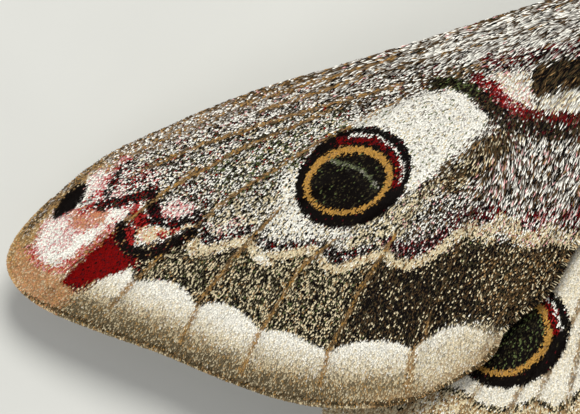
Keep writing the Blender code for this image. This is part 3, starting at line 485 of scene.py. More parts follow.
# Shader building
class Link:
    def __init__(self, maker, socket):
        self.maker, self.socket = maker, socket

    def math(self, operation, first, second):
        return self.maker.node("ShaderNodeMath", {"operation": operation}, {0: first, 1: second})

    def __add__(self, other):
        return self.math("ADD", self, other)

    def __mul__(self, other):
        return self.math("MULTIPLY", self, other)

    def __rsub__(self, other):
        return self.math("SUBTRACT", other, self)

    __radd__, __rmul__ = __add__, __mul__


class Finish:
    def __init__(self, name, **fixed):
        self.material = bpy.data.materials.new(name)
        self.material.use_nodes = True
        self.tree = self.material.node_tree
        self.shader = self.tree.nodes["Principled BSDF"]
        for label, value in fixed.items():
            self.shader.inputs[label.replace("_", " ")].default_value = value

    def node(self, kind, settings=None, sockets=None, output=0):
        made = self.tree.nodes.new(kind)
        for name, value in (settings or {}).items():
            setattr(made, name, value)
        for socket, value in (sockets or {}).items():
            self.join(made.inputs[socket], value)
        return Link(self, made.outputs[output])

    def join(self, socket, value):
        if isinstance(value, Link):
            self.tree.links.new(value.socket, socket)
        else:
            socket.default_value = value

    def feed(self, **sockets):
        for label, value in sockets.items():
            self.join(self.shader.inputs[label.replace("_", " ")], value)
        return self.material

    def places(self, scale=(1, 1, 1)):
        here = self.node("ShaderNodeTexCoord", output="Object")
        return self.node("ShaderNodeMapping", None, {"Vector": here, "Scale": scale})

    def noise(self, scale, detail=3.0, stretch=(1, 1, 1)):
        return self.node("ShaderNodeTexNoise", None,
                         {"Vector": self.places(stretch), "Scale": scale, "Detail": detail}, "Fac")

    def markingsAndShade(self):
        return self.node("ShaderNodeAttribute", {"attribute_name": "markingsAndShade"}, output="Color")

    def tinted(self, colour, by, low, high):
        level = self.node("ShaderNodeMapRange", None,
                          {"Value": by, "From Min": 0.3, "From Max": 0.7, "To Min": low, "To Max": high})
        return self.node("ShaderNodeVectorMath", {"operation": "SCALE"}, {0: colour, "Scale": level})

    def raised(self, height, strength, distance):
        return self.node("ShaderNodeBump", None,
                         {"Height": height, "Strength": strength, "Distance": distance}, "Normal")


def scaleFinish(name, roughness):
    finish = Finish(name, Specular_IOR_Level=0.03)
    colour = finish.markingsAndShade()
    grain = finish.noise(9000, 2)
    return finish.feed(Base_Color=finish.tinted(colour, grain, 0.86, 1.10),
                       Roughness=roughness + grain * 0.2,
                       Normal=finish.raised(grain, 0.25, 0.00002))


def skinFinish(name, scaleSize):
    finish = Finish(name, Specular_IOR_Level=0.08)
    colour = finish.markingsAndShade()
    cells = finish.node("ShaderNodeTexVoronoi", {"feature": "F1"},
                        {"Vector": finish.places((1, 0.6, 1)), "Scale": 1 / scaleSize, "Randomness": 0.8})
    tone = finish.noise(3500, 3)
    return finish.feed(Base_Color=finish.tinted(colour, tone, 0.72, 1.12),
                       Roughness=0.62 + tone * 0.2,
                       Normal=finish.raised(1 - cells, 0.5, 0.00004))


# Making meshes
def unit(vectors):
    return vectors / np.linalg.norm(vectors, axis=1)[:, None]


def placed(name, data):
    made = bpy.data.objects.new(name, data)
    scene.collection.objects.link(made)
    return made


def meshFrom(bm, name):
    mesh = bpy.data.meshes.new(name)
    bm.to_mesh(mesh)
    bm.free()
    return mesh


def shown(name, mesh, material, nodes=()):
    made = placed(name, mesh)
    mesh.materials.clear()
    mesh.materials.append(material)
    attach(made, "root")
    if nodes:
        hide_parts(*nodes)


def worldPlaces(places, side):
    moved = np.array(places, float)
    moved[:, 0] *= side
    moved[:, 1] -= hingeToOrigin
    return moved * mm


def readVertices(mesh, what):
    values = np.zeros(len(mesh.vertices) * 3)
    mesh.vertices.foreach_get(what, values)
    return values.reshape(-1, 3)


def cornersOf(mesh):
    return readVertices(mesh, "co") / mm + np.array([0, hingeToOrigin, 0])


def inTile(places):
    # the baking map's square, without its edge
    return 0.01 + 0.98 * np.clip(places, 0, 1)


def paintVertices(mesh, colours):
    paints = mesh.color_attributes.new("markingsAndShade", "FLOAT_COLOR", "POINT")
    full = np.ones((len(colours), 4), np.float32)
    full[:, :3] = colours
    paints.data.foreach_set("color", full.ravel())


def manyMesh(name, points, faces, colours, bakeSpots, bakeShape, flip):
    count, corners = points.shape[:2]
    order = [face[::-1] for face in faces] if flip else faces
    loops = np.concatenate([np.array(face) for face in order])
    starts = np.cumsum([0] + [len(face) for face in order])[:-1]
    shift = np.arange(count)[:, None]
    mesh = bpy.data.meshes.new(name)
    mesh.vertices.add(count * corners)
    mesh.vertices.foreach_set("co", points.reshape(-1).astype(np.float32))
    mesh.loops.add(count * len(loops))
    mesh.loops.foreach_set("vertex_index", (loops + shift * corners).ravel().astype(np.int32))
    mesh.polygons.add(count * len(order))
    mesh.polygons.foreach_set("loop_start", (starts + shift * len(loops)).ravel().astype(np.int32))
    mesh.update(calc_edges=True)
    paintVertices(mesh, colours.reshape(-1, 3))
    bake = mesh.uv_layers.new(name="OFBake")
    patch = bakeSpots[:, None, :] + bakeShape[None, :, :]
    bake.data.foreach_set("uv", patch[:, loops, :].reshape(-1).astype(np.float32))
    return mesh


patchSize = 0.003  # a scale's or hair's patch in the baking map
# tone darkens each scale towards its root and lightens its tip a little: painted shade under the scales that
# overlap its root
bladeShape = {"across": [-0.3, 0.3, 0.5, 0, -0.5], "along": [0, 0, 0.78, 1, 0.78],
              "lift": [0, 0, 0.8, 1, 0.8], "tone": [0.35, 0.35, 1, 1.05, 1],
              "faces": [(0, 1, 2, 4), (4, 2, 3)]}


def bladeMesh(name, roots, heading, upward, long, wide, lift, colours, spots, side):
    sideways = np.cross(heading, upward)
    across = np.array(bladeShape["across"])[None, :, None] * wide[:, None, None]
    along = np.array(bladeShape["along"])[None, :, None] * long[:, None, None]
    raised = np.array(bladeShape["lift"])[None, :, None] * lift[:, None, None]
    points = (roots[:, None, :] + across * sideways[:, None, :] + along * heading[:, None, :]
              + raised * upward[:, None, :])
    world = worldPlaces(points.reshape(-1, 3), side).reshape(points.shape)
    shape = np.stack([np.array(bladeShape["across"]), np.array(bladeShape["along"]) - 0.5], 1) * patchSize
    # each corner's colour scaled by its tone: painted shade darkening the scale's root
    tone = np.array(bladeShape["tone"])[None, :, None]
    return manyMesh(name, world, bladeShape["faces"], colours[:, None, :] * tone, spots, shape, side < 0)


def heightMap(node, step=0.25):
    low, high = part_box(node)
    tree = BVHTree.FromObject(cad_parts[node], bpy.context.evaluated_depsgraph_get())
    outs = np.arange(low[0] / mm - 1, high[0] / mm + 1, step)
    backs = np.arange(low[1] / mm - 1, high[1] / mm + 1, step)
    top = np.full((len(outs), len(backs)), np.nan)
    for i, out in enumerate(outs):
        for j, back in enumerate(backs):
            hit = tree.ray_cast(Vector((out * mm, back * mm, high[2] + mm)), Vector((0, 0, -1)))[0]
            if hit is not None:
                top[i, j] = hit.z / mm
    for _ in range(8):  # carry the edge's height eight steps outwards
        spread = np.stack([np.roll(top, move, axis) for axis in (0, 1) for move in (-1, 1)])
        known = ~np.isnan(spread)
        mean = np.where(known, spread, 0).sum(0) / np.maximum(known.sum(0), 1)
        top = np.where(np.isnan(top) & known.any(0), mean, top)
    top = np.where(np.isnan(top), np.nanmean(top), top)
    return {"out": outs[0], "back": backs[0] + hingeToOrigin, "step": step, "top": top}


def heightAt(field, places):
    u = np.clip((places[:, 0] - field["out"]) / field["step"], 0, field["top"].shape[0] - 1.001)
    v = np.clip((places[:, 1] - field["back"]) / field["step"], 0, field["top"].shape[1] - 1.001)
    i, j = u.astype(int), v.astype(int)
    s, t = u - i, v - j
    top = field["top"]
    return (top[i, j] * (1 - s) * (1 - t) + top[i + 1, j] * s * (1 - t)
            + top[i, j + 1] * (1 - s) * t + top[i + 1, j + 1] * s * t)


def slopeAt(field, places, reach=0.2):
    out = np.array([reach, 0])
    back = np.array([0, reach])
    outward = (heightAt(field, places + out) - heightAt(field, places - out)) / (2 * reach)
    backward = (heightAt(field, places + back) - heightAt(field, places - back)) / (2 * reach)
    return unit(np.stack([-outward, -backward, np.ones(len(places))], 1))


combing = {  # how the scales' way follows the veins, in mm, and the guides, in pixels
    "nearVein": 0.5, "nearGuide": 150, "fall": 1.5, "veinShare": 0.25,
}


def flowAt(places, veins):
    total = np.zeros((len(places), 2))
    for vein in veins.values():
        line = np.array(vein, float)
        for start, end in zip(line[:-1], line[1:]):
            run = end - start
            along = np.clip((places - start) @ run / (run @ run), 0, 1)
            gap = ((places - start - along[:, None] * run) ** 2).sum(1)
            total += run / (gap[:, None] + combing["nearVein"]) ** combing["fall"]
    return unit(total)


def combedAt(places, wing):
    # the way the scales lie: along the veins, turned towards the guides read from the photograph
    flow = flowAt(places, wing["veins"])
    guides = np.array(wing["combing"], float)
    if not len(guides):
        return flow
    pixels = toPhoto(places)
    gap = ((pixels[:, None, :] - guides[None, :, :2]) ** 2).sum(2)
    pull = 1 / (gap + combing["nearGuide"]) ** combing["fall"]
    angle = np.radians(guides[:, 2])
    combed = pull @ np.stack([np.cos(angle), np.sin(angle)], 1) / pull.sum(1)[:, None]
    return unit(flow * combing["veinShare"] + combed)


scaleRows = {
    "start": 0.8, "angles": (-0.35, math.pi / 2 + 0.45), "shake": 0.016,
    "waves": [(0.10, 23, 0.06), (0.06, 71, 0.11)],  # size in mm, waves along a row, drift from row to row
    "lots": {"alongRow": 0.7548777, "acrossRows": 0.5698403, "spread": 0.8},
}


def rowsOfPlaces(wing, random):
    # places in rows round a point near the wing's root, as the scales sit in their rows, and for each
    # a lot from 0 to 1 that differs from its neighbours' lots, so that the colours mix evenly
    pole = np.array(wing["pole"])
    reach = np.hypot(*(wing["outline"] - pole).T)
    sizes, lotSteps = wing["scales"], scaleRows["lots"]
    rows, lots = [], []
    for row, radius in enumerate(np.arange(reach.min() * scaleRows["start"], reach.max(), sizes["rowStep"])):
        step = sizes["gapInRow"] / radius
        angles = np.arange(*scaleRows["angles"], step) + (row % 2) * step / 2
        wander = sum(size * np.sin(angles * waves + row * drift) for size, waves, drift in scaleRows["waves"])
        rows.append(pole + (radius + wander)[:, None] * np.stack([np.cos(angles), np.sin(angles)], 1))
        lots.append(np.arange(len(angles)) * lotSteps["alongRow"] + row * lotSteps["acrossRows"])
    places = np.vstack(rows)
    lots = (np.concatenate(lots) + random.random(len(places)) * lotSteps["spread"]) % 1
    places += random.normal(0, scaleRows["shake"], places.shape)
    inside = isInside(places, wing["outline"])
    return places[inside], lots[inside]


sideName = {1: "Left", -1: "Right"}
nodeSide = {1: "_left", -1: "_right"}
wingForm = {"margin": 0.5, "cell": 0.24, "size": 0.996, "merge": 0.01, "paleUnder": 0.3, "cells": 0.00012}


def wingSkin(wing, field, side, random):
    # a grid cut to the outline, laid under the scales and given its thickness
    outline = wing["outline"]
    low, high = outline.min(0) - wingForm["margin"], outline.max(0) + wingForm["margin"]
    bm = bmesh.new()
    segments = np.ceil((high - low) / wingForm["cell"]).astype(int)
    bmesh.ops.create_grid(bm, x_segments=int(segments[0]), y_segments=int(segments[1]), size=0.5)
    bmesh.ops.scale(bm, vec=(*(high - low), 1), verts=bm.verts)
    bmesh.ops.translate(bm, vec=(*((high + low) / 2), 0), verts=bm.verts)
    places = np.array([vert.co[:2] for vert in bm.verts])
    middle = outline.mean(0)
    inset = (outline - middle) * wingForm["size"] + middle
    keep = isInside(places, inset)
    rim = nearestOn(places, closed(inset))[1]
    spare = [face for face in bm.faces if not any(keep[vert.index] for vert in face.verts)]
    for vert, inside, foot in zip(bm.verts, keep, rim):
        if not inside:
            vert.co.x, vert.co.y = foot
    bmesh.ops.delete(bm, geom=spare, context="FACES")
    places = np.array([vert.co[:2] for vert in bm.verts])
    heights = heightAt(field, places) - wing["drop"]
    for vert, height in zip(bm.verts, heights):
        vert.co.z = height
    bmesh.ops.dissolve_degenerate(bm, dist=wingForm["merge"], edges=bm.edges)
    bmesh.ops.triangulate(bm, faces=[face for face in bm.faces if len(face.verts) > 4])
    bmesh.ops.recalc_face_normals(bm, faces=bm.faces)
    if sum(face.normal.z for face in bm.faces) < 0:
        bmesh.ops.reverse_faces(bm, faces=bm.faces)
    lower = bmesh.ops.extrude_face_region(bm, geom=bm.faces[:], use_keep_orig=True)["geom"]
    lowerVerts = [part for part in lower if isinstance(part, bmesh.types.BMVert)]
    bmesh.ops.translate(bm, vec=(0, 0, -wing["thick"]), verts=lowerVerts)
    bmesh.ops.recalc_face_normals(bm, faces=bm.faces)
    for face in bm.faces:
        face.smooth = True
    if side < 0:
        bmesh.ops.scale(bm, vec=(-1, 1, 1), verts=bm.verts)
        bmesh.ops.reverse_faces(bm, faces=bm.faces)
    bmesh.ops.translate(bm, vec=(0, -hingeToOrigin, 0), verts=bm.verts)
    bmesh.ops.scale(bm, vec=(mm, mm, mm), verts=bm.verts)
    name = wing["node"] + sideName[side] + "Skin"
    mesh = meshFrom(bm, name)
    corners = cornersOf(mesh)
    flat = np.stack([corners[:, 0] * side, corners[:, 1]], 1)
    colours = paint(flat, wing["marks"], random, 0.1)[0] @ colourTable
    under = corners[:, 2] < heightAt(field, flat) - wing["drop"] - wing["thick"] * 0.4
    pale = wingForm["paleUnder"]
    colours[under] = colours[under] * (1 - pale) + np.array(scaleColours["pale"]) * pale
    paintVertices(mesh, colours)
    shown(name, mesh, skinFinish(name, wingForm["cells"]), [wing["node"] + nodeSide[side]])


longScales = {  # where the scales are long and hair-like, and how they differ there
    "where": region([(730, -60), (540, -20), (380, 30), (300, 70), (330, 90), (430, 72), (520, 60),
                     (560, 130), (470, 150), (480, 200), (620, 240), (730, 240)], 60),
    "fewer": 0.4, "longer": 2.0, "narrower": 0.15, "raised": 2.5,
}
scaleSpread = {"long": 0.12, "wide": 0.10, "lift": 0.3, "turn": 0.16, "tone": 0.10}
scaleSeat = {"above": 0.005, "beyond": 0.03}  # over the skin, and past the margin, in mm
fringeScales = {"gap": 0.028, "rooted": 0.08, "spread": 0.15}


def bakePlace(places, wing):
    low, high = wing["outline"].min(0) - 1, wing["outline"].max(0) + 1
    return inTile((places - low) / (high - low))


def fringeOf(wing, random):
    # the longer scales that stand out from the margin: places, ways and lengths
    outline = wing["outline"]
    knots = [knot * outlineSteps for knot, _ in wing["fringe"]]
    spots = np.repeat(np.arange(knots[0], knots[-1], fringeScales["gap"]), 2)
    spots += random.random(len(spots)) * fringeScales["gap"]
    at = spots.astype(int)
    start, end = outline[at % len(outline)], outline[(at + 1) % len(outline)]
    run = end - start
    places = start + (spots - at)[:, None] * run
    outward = np.stack([run[:, 1], -run[:, 0]], 1)
    following = np.roll(outline, -1, axis=0)
    outward *= np.sign((outline[:, 0] * following[:, 1] - outline[:, 1] * following[:, 0]).sum())
    outward = unit(outward)
    long = np.interp(spots, knots, [size for _, size in wing["fringe"]])
    long = long * random.normal(1, fringeScales["spread"], len(long)) + fringeScales["rooted"]
    return places - outward * fringeScales["rooted"], outward, long


def turned(ways, turn):
    return np.stack([ways[:, 0] * np.cos(turn) - ways[:, 1] * np.sin(turn),
                     ways[:, 0] * np.sin(turn) + ways[:, 1] * np.cos(turn)], 1)


def wingCoat(wing, field, side, material):
    # the overlapping scales, each of one colour drawn from the markings
    random = np.random.default_rng(wing["seed"] + (side < 0))
    sizes, spread = wing["scales"], scaleSpread
    places, lots = rowsOfPlaces(wing, random)
    hairy = markMask(toPhoto(places), longScales["where"])
    kept = random.random(len(places)) > hairy * longScales["fewer"]
    places, lots, hairy = places[kept], lots[kept], hairy[kept]
    inward = nearestOn(places, closed(wing["outline"]))[0]
    long = sizes["long"] * random.normal(1, spread["long"], len(places)) * (1 + longScales["longer"] * hairy)
    flow = turned(combedAt(places, wing), random.normal(0, spread["turn"], len(places)))
    beyond = ~isInside(places + flow * long[:, None], wing["outline"])
    long[beyond] = np.minimum(long[beyond], inward[beyond] + scaleSeat["beyond"])
    edgePlaces, edgeFlow, edgeLong = fringeOf(wing, random)
    edgeFlow = turned(edgeFlow, random.normal(0, spread["turn"], len(edgeFlow)))
    places, flow = np.vstack([places, edgePlaces]), np.vstack([flow, edgeFlow])
    long, hairy = np.concatenate([long, edgeLong]), np.concatenate([hairy, np.zeros(len(edgeLong))])
    lots = np.concatenate([lots, random.random(len(edgeLong))])
    upward = slopeAt(field, places)
    heading = np.column_stack([flow, np.zeros(len(places))])
    heading = unit(heading - (heading * upward).sum(1)[:, None] * upward)
    showing = places + flow * np.maximum(long - sizes["rowStep"] / 2, 0)[:, None]
    colours = drawn(*paint(showing, wing["marks"], random, 0.9), lots)
    colours = colours * random.normal(1, spread["tone"], (len(places), 1)).clip(0.7, 1.3)
    wide = sizes["wide"] * random.normal(1, spread["wide"], len(places))
    wide = wide * (1 - longScales["narrower"] * hairy)
    lift = sizes["lift"] * random.normal(1, spread["lift"], len(places)).clip(0.4, 2)
    lift = lift * (1 + longScales["raised"] * hairy)
    roots = np.column_stack([places, heightAt(field, places) - wing["drop"] + scaleSeat["above"]])
    spots = bakePlace(places, wing)
    for piece, (first, last) in wing["pieces"].items():
        here = (places[:, 0] >= first) & (places[:, 0] < last)
        name = wing["node"] + sideName[side] + "Scales" + piece
        mesh = bladeMesh(name, roots[here], heading[here], upward[here], long[here], wide[here], lift[here],
                         colours[here], spots[here], side)
        shown(name, mesh, material)
        print(name, here.sum() * 3, "triangles")


def buildWings():
    scaleMaterial = scaleFinish("wing scales", 0.5)
    for wing in (forewing, hindwing):
        field = heightMap(wing["node"] + "_left")
        for side in (1, -1):
            random = np.random.default_rng(wing["seed"] + 5)
            wingSkin(wing, field, side, random)
            wingCoat(wing, field, side, scaleMaterial)


# Body: one skin under a coat of hair
bodyMixes = {
    "head": {"white": .30, "pale": .34, "cream": .14, "grey": .12, "brown": .10},
    "collar": {"white": .50, "cream": .24, "pale": .18, "grey": .08},
    "thorax": {"grey": .24, "brown": .22, "olive": .14, "pale": .20, "white": .14, "wine": .03, "black": .03},
    "shoulder": {"white": .34, "pale": .34, "grey": .20, "brown": .12},
    "ring": {"white": .52, "cream": .20, "pale": .28},
    "between": {"grey": .34, "brown": .22, "olive": .14, "pale": .24, "white": .06},
    "belly": {"pale": .40, "cream": .25, "grey": .25, "brown": .10},
}
bodyBands = [(-9, "head"), (-5.9, "head"), (-5.2, "collar"), (-3.8, "collar"), (-3.0, "thorax"),
             (3.0, "thorax"), (4.2, "ring"), (5.4, "ring")]
abdomenRings = {"start": 5.3, "end": 21.2, "rings": 7, "paleFrom": 0.62, "soft": 0.25}
bodyEdges = {  # where each mix ends, and over how much it fades out
    "abdomen": (-5.5, 0.8), "shoulderOut": (-2.6, 1.4), "shoulderBack": (3.2, 1.0), "belly": (-0.2, 0.7),
}
coats = {  # each from one place to another along the body
    "head": {"slot": "coat", "reach": (-20, -5.05), "count": 8600,
             "long": 0.85, "wide": 0.062, "lift": 0.8},
    "thorax": {"slot": "coat", "reach": (-5.05, 5.1), "count": 17500,
               "long": 2.3, "wide": 0.078, "lift": 0.60},
    "abdomen": {"slot": "abdomen", "reach": (5.1, 40), "count": 18500,
                "long": 1.25, "wide": 0.080, "lift": 0.34},
}
hairSpread = {"way": 0.16, "long": 0.22, "wide": 0.15, "tone": 0.12, "even": 0.35}
hairBelow = {"shorter": 0.35, "from": -0.1, "over": 0.6}
hairWander = {"all": (1.6, 5, 0.34), "head": (1.0, 7, 0.4), "thorax": (4.0, 6, 0.3)}  # mm, seed, size
hairRoots = 130000  # places tried over the whole skin, of which each coat takes its count
hairBend = {"onward": 0.30, "down": 0.18}
hairWays = {  # ways the hair is combed, and the places where the face's and the collar's end
    "back": (0, 1, 0.12), "face": (0, -0.5, -0.3), "neck": (0, 0.7, 0.1), "collar": (0, -1.1, 0.3),
    "faceEnds": -5.9, "collarEnds": -4.2, "soft": 0.9, "apart": 0.10,
}


def bodyShares(places, upward):
    back = places[:, 1]
    mixes = np.array([mixOf(bodyMixes[name]) for _, name in bodyBands])
    stations = [band[0] for band in bodyBands]
    shares = np.stack([np.interp(back, stations, mixes[:, k]) for k in range(len(colourNames))], 1)
    ringLength = (abdomenRings["end"] - abdomenRings["start"]) / abdomenRings["rings"]
    phase = ((back - abdomenRings["start"]) / ringLength) % 1
    pale = softStep(abdomenRings["paleFrom"] - phase, 0, abdomenRings["soft"])[:, None]
    abdomen = mixOf(bodyMixes["between"]) * (1 - pale) + mixOf(bodyMixes["ring"]) * pale
    rear = softStep(-back, *bodyEdges["abdomen"])[:, None]
    shares = shares * (1 - rear) + abdomen * rear
    side = softStep(-np.abs(places[:, :1]), *bodyEdges["shoulderOut"])
    side = side * softStep(np.abs(places[:, 1:2]), *bodyEdges["shoulderBack"])
    shares += side * (mixOf(bodyMixes["shoulder"]) - shares)
    below = softStep(upward[:, 2:], *bodyEdges["belly"])
    return shares + below * (mixOf(bodyMixes["belly"]) - shares)


bodyForm = {
    # back, up, half width and half height of the body under its hair, from the mouth to the tail
    "stations": [(-8.3, 4.6, 0, 0), (-8.0, 4.65, 0.55, 0.60), (-7.6, 4.75, 1.30, 1.25),
                 (-6.9, 4.9, 1.85, 1.70), (-6.0, 5.0, 2.00, 1.80), (-5.2, 5.0, 1.60, 1.55),
                 (-4.9, 5.1, 1.75, 1.70), (-4.2, 5.3, 2.75, 2.55), (-2.8, 5.6, 3.55, 3.30),
                 (-1.0, 5.8, 3.95, 3.65), (1.0, 5.75, 4.05, 3.65), (3.2, 5.3, 3.80, 3.40),
                 (5.0, 4.9, 3.35, 3.05), (5.3, 4.75, 3.30, 3.00), (7.5, 4.45, 3.95, 3.65),
                 (10.0, 4.15, 4.25, 3.95), (13.0, 3.90, 4.25, 3.95), (16.0, 3.55, 3.75, 3.60),
                 (18.5, 3.05, 2.85, 2.80), (20.3, 2.60, 1.75, 1.75), (21.2, 2.40, 0.60, 0.65),
                 (21.4, 2.38, 0, 0)],
    "inset": 0.12, "corners": 72, "rings": 150, "voxel": 0.2, "settle": 3, "shade": 0.42, "cells": 0.0002,
    "palp": {"out": 0.62, "back": -7.7, "up": 4.3, "half": (0.30, 0.85, 0.30), "rise": -13},
}


def bodySkin():
    # a rounded form through the stations, with the two palps, made one skin
    stations = np.array(bodyForm["stations"])
    bm = bmesh.new()
    bmesh.ops.create_uvsphere(bm, u_segments=bodyForm["corners"], v_segments=bodyForm["rings"], radius=1)
    ball = np.array([vert.co for vert in bm.verts])
    share = np.arccos(np.clip(-ball[:, 2], -1, 1)) / math.pi
    back = stations[0, 0] + share * (stations[-1, 0] - stations[0, 0])
    shifted = [back + shift for shift in np.linspace(-0.35, 0.35, 7)]  # rounds the stations' corners
    up, wide, high = (np.mean([np.interp(at, stations[:, 0], stations[:, k]) for at in shifted], 0)
                      for k in (1, 2, 3))
    circle = ball[:, :2] / np.maximum(np.hypot(ball[:, 0], ball[:, 1]), 1e-6)[:, None]
    for vert, (x, y), place, level, w, h in zip(bm.verts, circle, back, up, wide, high):
        w, h = max(w - bodyForm["inset"], 0.05), max(h - bodyForm["inset"], 0.05)
        vert.co = (x * w, place, level + y * h)
    palp = bodyForm["palp"]
    for way in (1, -1):
        lie = (Matrix.Translation((way * palp["out"], palp["back"], palp["up"]))
               @ Matrix.Rotation(math.radians(palp["rise"]), 4, "X") @ Matrix.Diagonal((*palp["half"], 1)))
        bmesh.ops.create_uvsphere(bm, u_segments=20, v_segments=14, radius=1, matrix=lie)
    bmesh.ops.translate(bm, vec=(0, -hingeToOrigin, 0), verts=bm.verts)
    bmesh.ops.scale(bm, vec=(mm, mm, mm), verts=bm.verts)
    bmesh.ops.recalc_face_normals(bm, faces=bm.faces)
    form = placed("bodyForm", meshFrom(bm, "bodyForm"))
    remesh = form.modifiers.new("remesh", "REMESH")
    remesh.mode, remesh.voxel_size = "VOXEL", bodyForm["voxel"] * mm
    settled = form.evaluated_get(bpy.context.evaluated_depsgraph_get()).to_mesh()
    bm = bmesh.new()
    bm.from_mesh(settled)
    form.to_mesh_clear()
    bpy.data.objects.remove(form)
    for _ in range(bodyForm["settle"]):
        bmesh.ops.smooth_vert(bm, verts=bm.verts, factor=0.5,
                              use_axis_x=True, use_axis_y=True, use_axis_z=True)
    for face in bm.faces:
        face.smooth = True
    mesh = meshFrom(bm, "bodySkin")
    colours = bodyShares(cornersOf(mesh), readVertices(mesh, "normal")) @ colourTable
    # the skin painted much darker than its hair: painted shade in the gaps between the hairs
    paintVertices(mesh, colours * bodyForm["shade"])
    shown("bodySkin", mesh, skinFinish("body skin", bodyForm["cells"]), ["head", "thorax", "abdomen"])
    return mesh


def rootsOn(mesh, count, random):
    # places spread over a mesh by area, with the normals there
    mesh.calc_loop_triangles()
    triangles = np.zeros(len(mesh.loop_triangles) * 3, int)
    mesh.loop_triangles.foreach_get("vertices", triangles)
    triangles = triangles.reshape(-1, 3)
    corners, normals = cornersOf(mesh), readVertices(mesh, "normal")
    a, b, c = (corners[triangles[:, k]] for k in range(3))
    area = np.linalg.norm(np.cross(b - a, c - a), axis=1)
    pick = random.choice(len(triangles), count, p=area / area.sum())
    u, v = np.sqrt(random.random(count)), random.random(count)
    share = np.stack([1 - u, u * (1 - v), u * v], 1)
    places = sum(share[:, k:k + 1] * corners[triangles[pick, k]] for k in range(3))
    upward = sum(share[:, k:k + 1] * normals[triangles[pick, k]] for k in range(3))
    return places, unit(upward)


def wandering(places, wavelength, seed, size):
    # three smooth values that wander over space
    random = np.random.default_rng(seed)
    total = np.zeros((len(places), 3))
    for _ in range(9):
        waves = random.normal(0, 2 * math.pi / wavelength, (3, 3)) * 0.55
        total += np.sin(places @ waves + random.random(3) * 2 * math.pi)
    return total / 3 * size


def keptWithin(roots, heading, bend, long, low=0.07, high=10.95):
    # the hairs' tips stay above the floor and no higher than the coat on the solids
    heading[:, 2] = np.maximum(heading[:, 2], (low - roots[:, 2]) / long)
    bend[:, 2] = np.maximum(bend[:, 2], low - roots[:, 2] - heading[:, 2] * long)
    rise = heading[:, 2] * long + bend[:, 2]
    shorter = np.where(roots[:, 2] + rise > high, (high - roots[:, 2]) / np.maximum(rise, 1e-6), 1)
    return heading, bend * shorter[:, None], long * shorter


# tone darkens each hair at its root and lightens its tip: painted shade deep in the coat
hairShape = {"rings": [(0.0, 1.0), (0.5, 0.72)], "tone": [0.62, 0.62, 0.62, 0.95, 0.95, 0.95, 1.1],
             "faces": [(2, 1, 0), (0, 1, 4, 3), (1, 2, 5, 4), (2, 0, 3, 5), (3, 4, 6), (4, 5, 6), (5, 3, 6)]}


def furMesh(name, roots, heading, bend, long, wide, colours, spots):
    # closed three-sided hairs that taper and bend
    side = unit(np.cross(heading, np.array([0.31, 0.52, 0.79])))
    other = np.cross(heading, side)
    rings = []
    angle = np.arange(3) * 2 * math.pi / 3
    for share, width in hairShape["rings"]:
        middle = roots + heading * (long * share)[:, None] + bend * share ** 2
        for turn in angle:
            around = side * math.cos(turn) + other * math.sin(turn)
            rings.append(middle + around * (wide * 0.5 * width)[:, None])
    rings.append(roots + heading * long[:, None] + bend)
    points = np.stack(rings, 1)
    world = worldPlaces(points.reshape(-1, 3), 1).reshape(points.shape)
    # painted shade: each hair darker at its root and lighter at its tip
    tone = np.array(hairShape["tone"])[None, :, None]
    ring = np.stack([np.cos(angle), np.sin(angle)], 1) * patchSize / 2
    shape = np.vstack([ring, ring * 0.5, [[0, 0]]])
    return manyMesh(name, world, hairShape["faces"], colours[:, None, :] * tone, spots, shape, False)


bodyMap = {"middle": 4.5, "start": -10, "long": 34}


def roundPlace(places):
    # the body's skin opened flat: round it and along it
    angle = np.arctan2(places[:, 0], places[:, 2] - bodyMap["middle"]) / (2 * math.pi) + 0.5
    along = (places[:, 1] - bodyMap["start"]) / bodyMap["long"]
    return inTile(np.stack([angle, along], 1))


def clearOfEyes(places, room=0.16):
    # no hair grows from under the eyes, or so near that it would cross them
    clear = np.ones(len(places), bool)
    for node in ("eye_left", "eye_right"):
        low, high = (np.array(corner) / mm + np.array([0, hingeToOrigin, 0]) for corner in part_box(node))
        away = np.abs(places - (low + high) / 2) / ((high - low) / 2 + room)
        clear &= (away ** 2).sum(1) > 1
    return clear


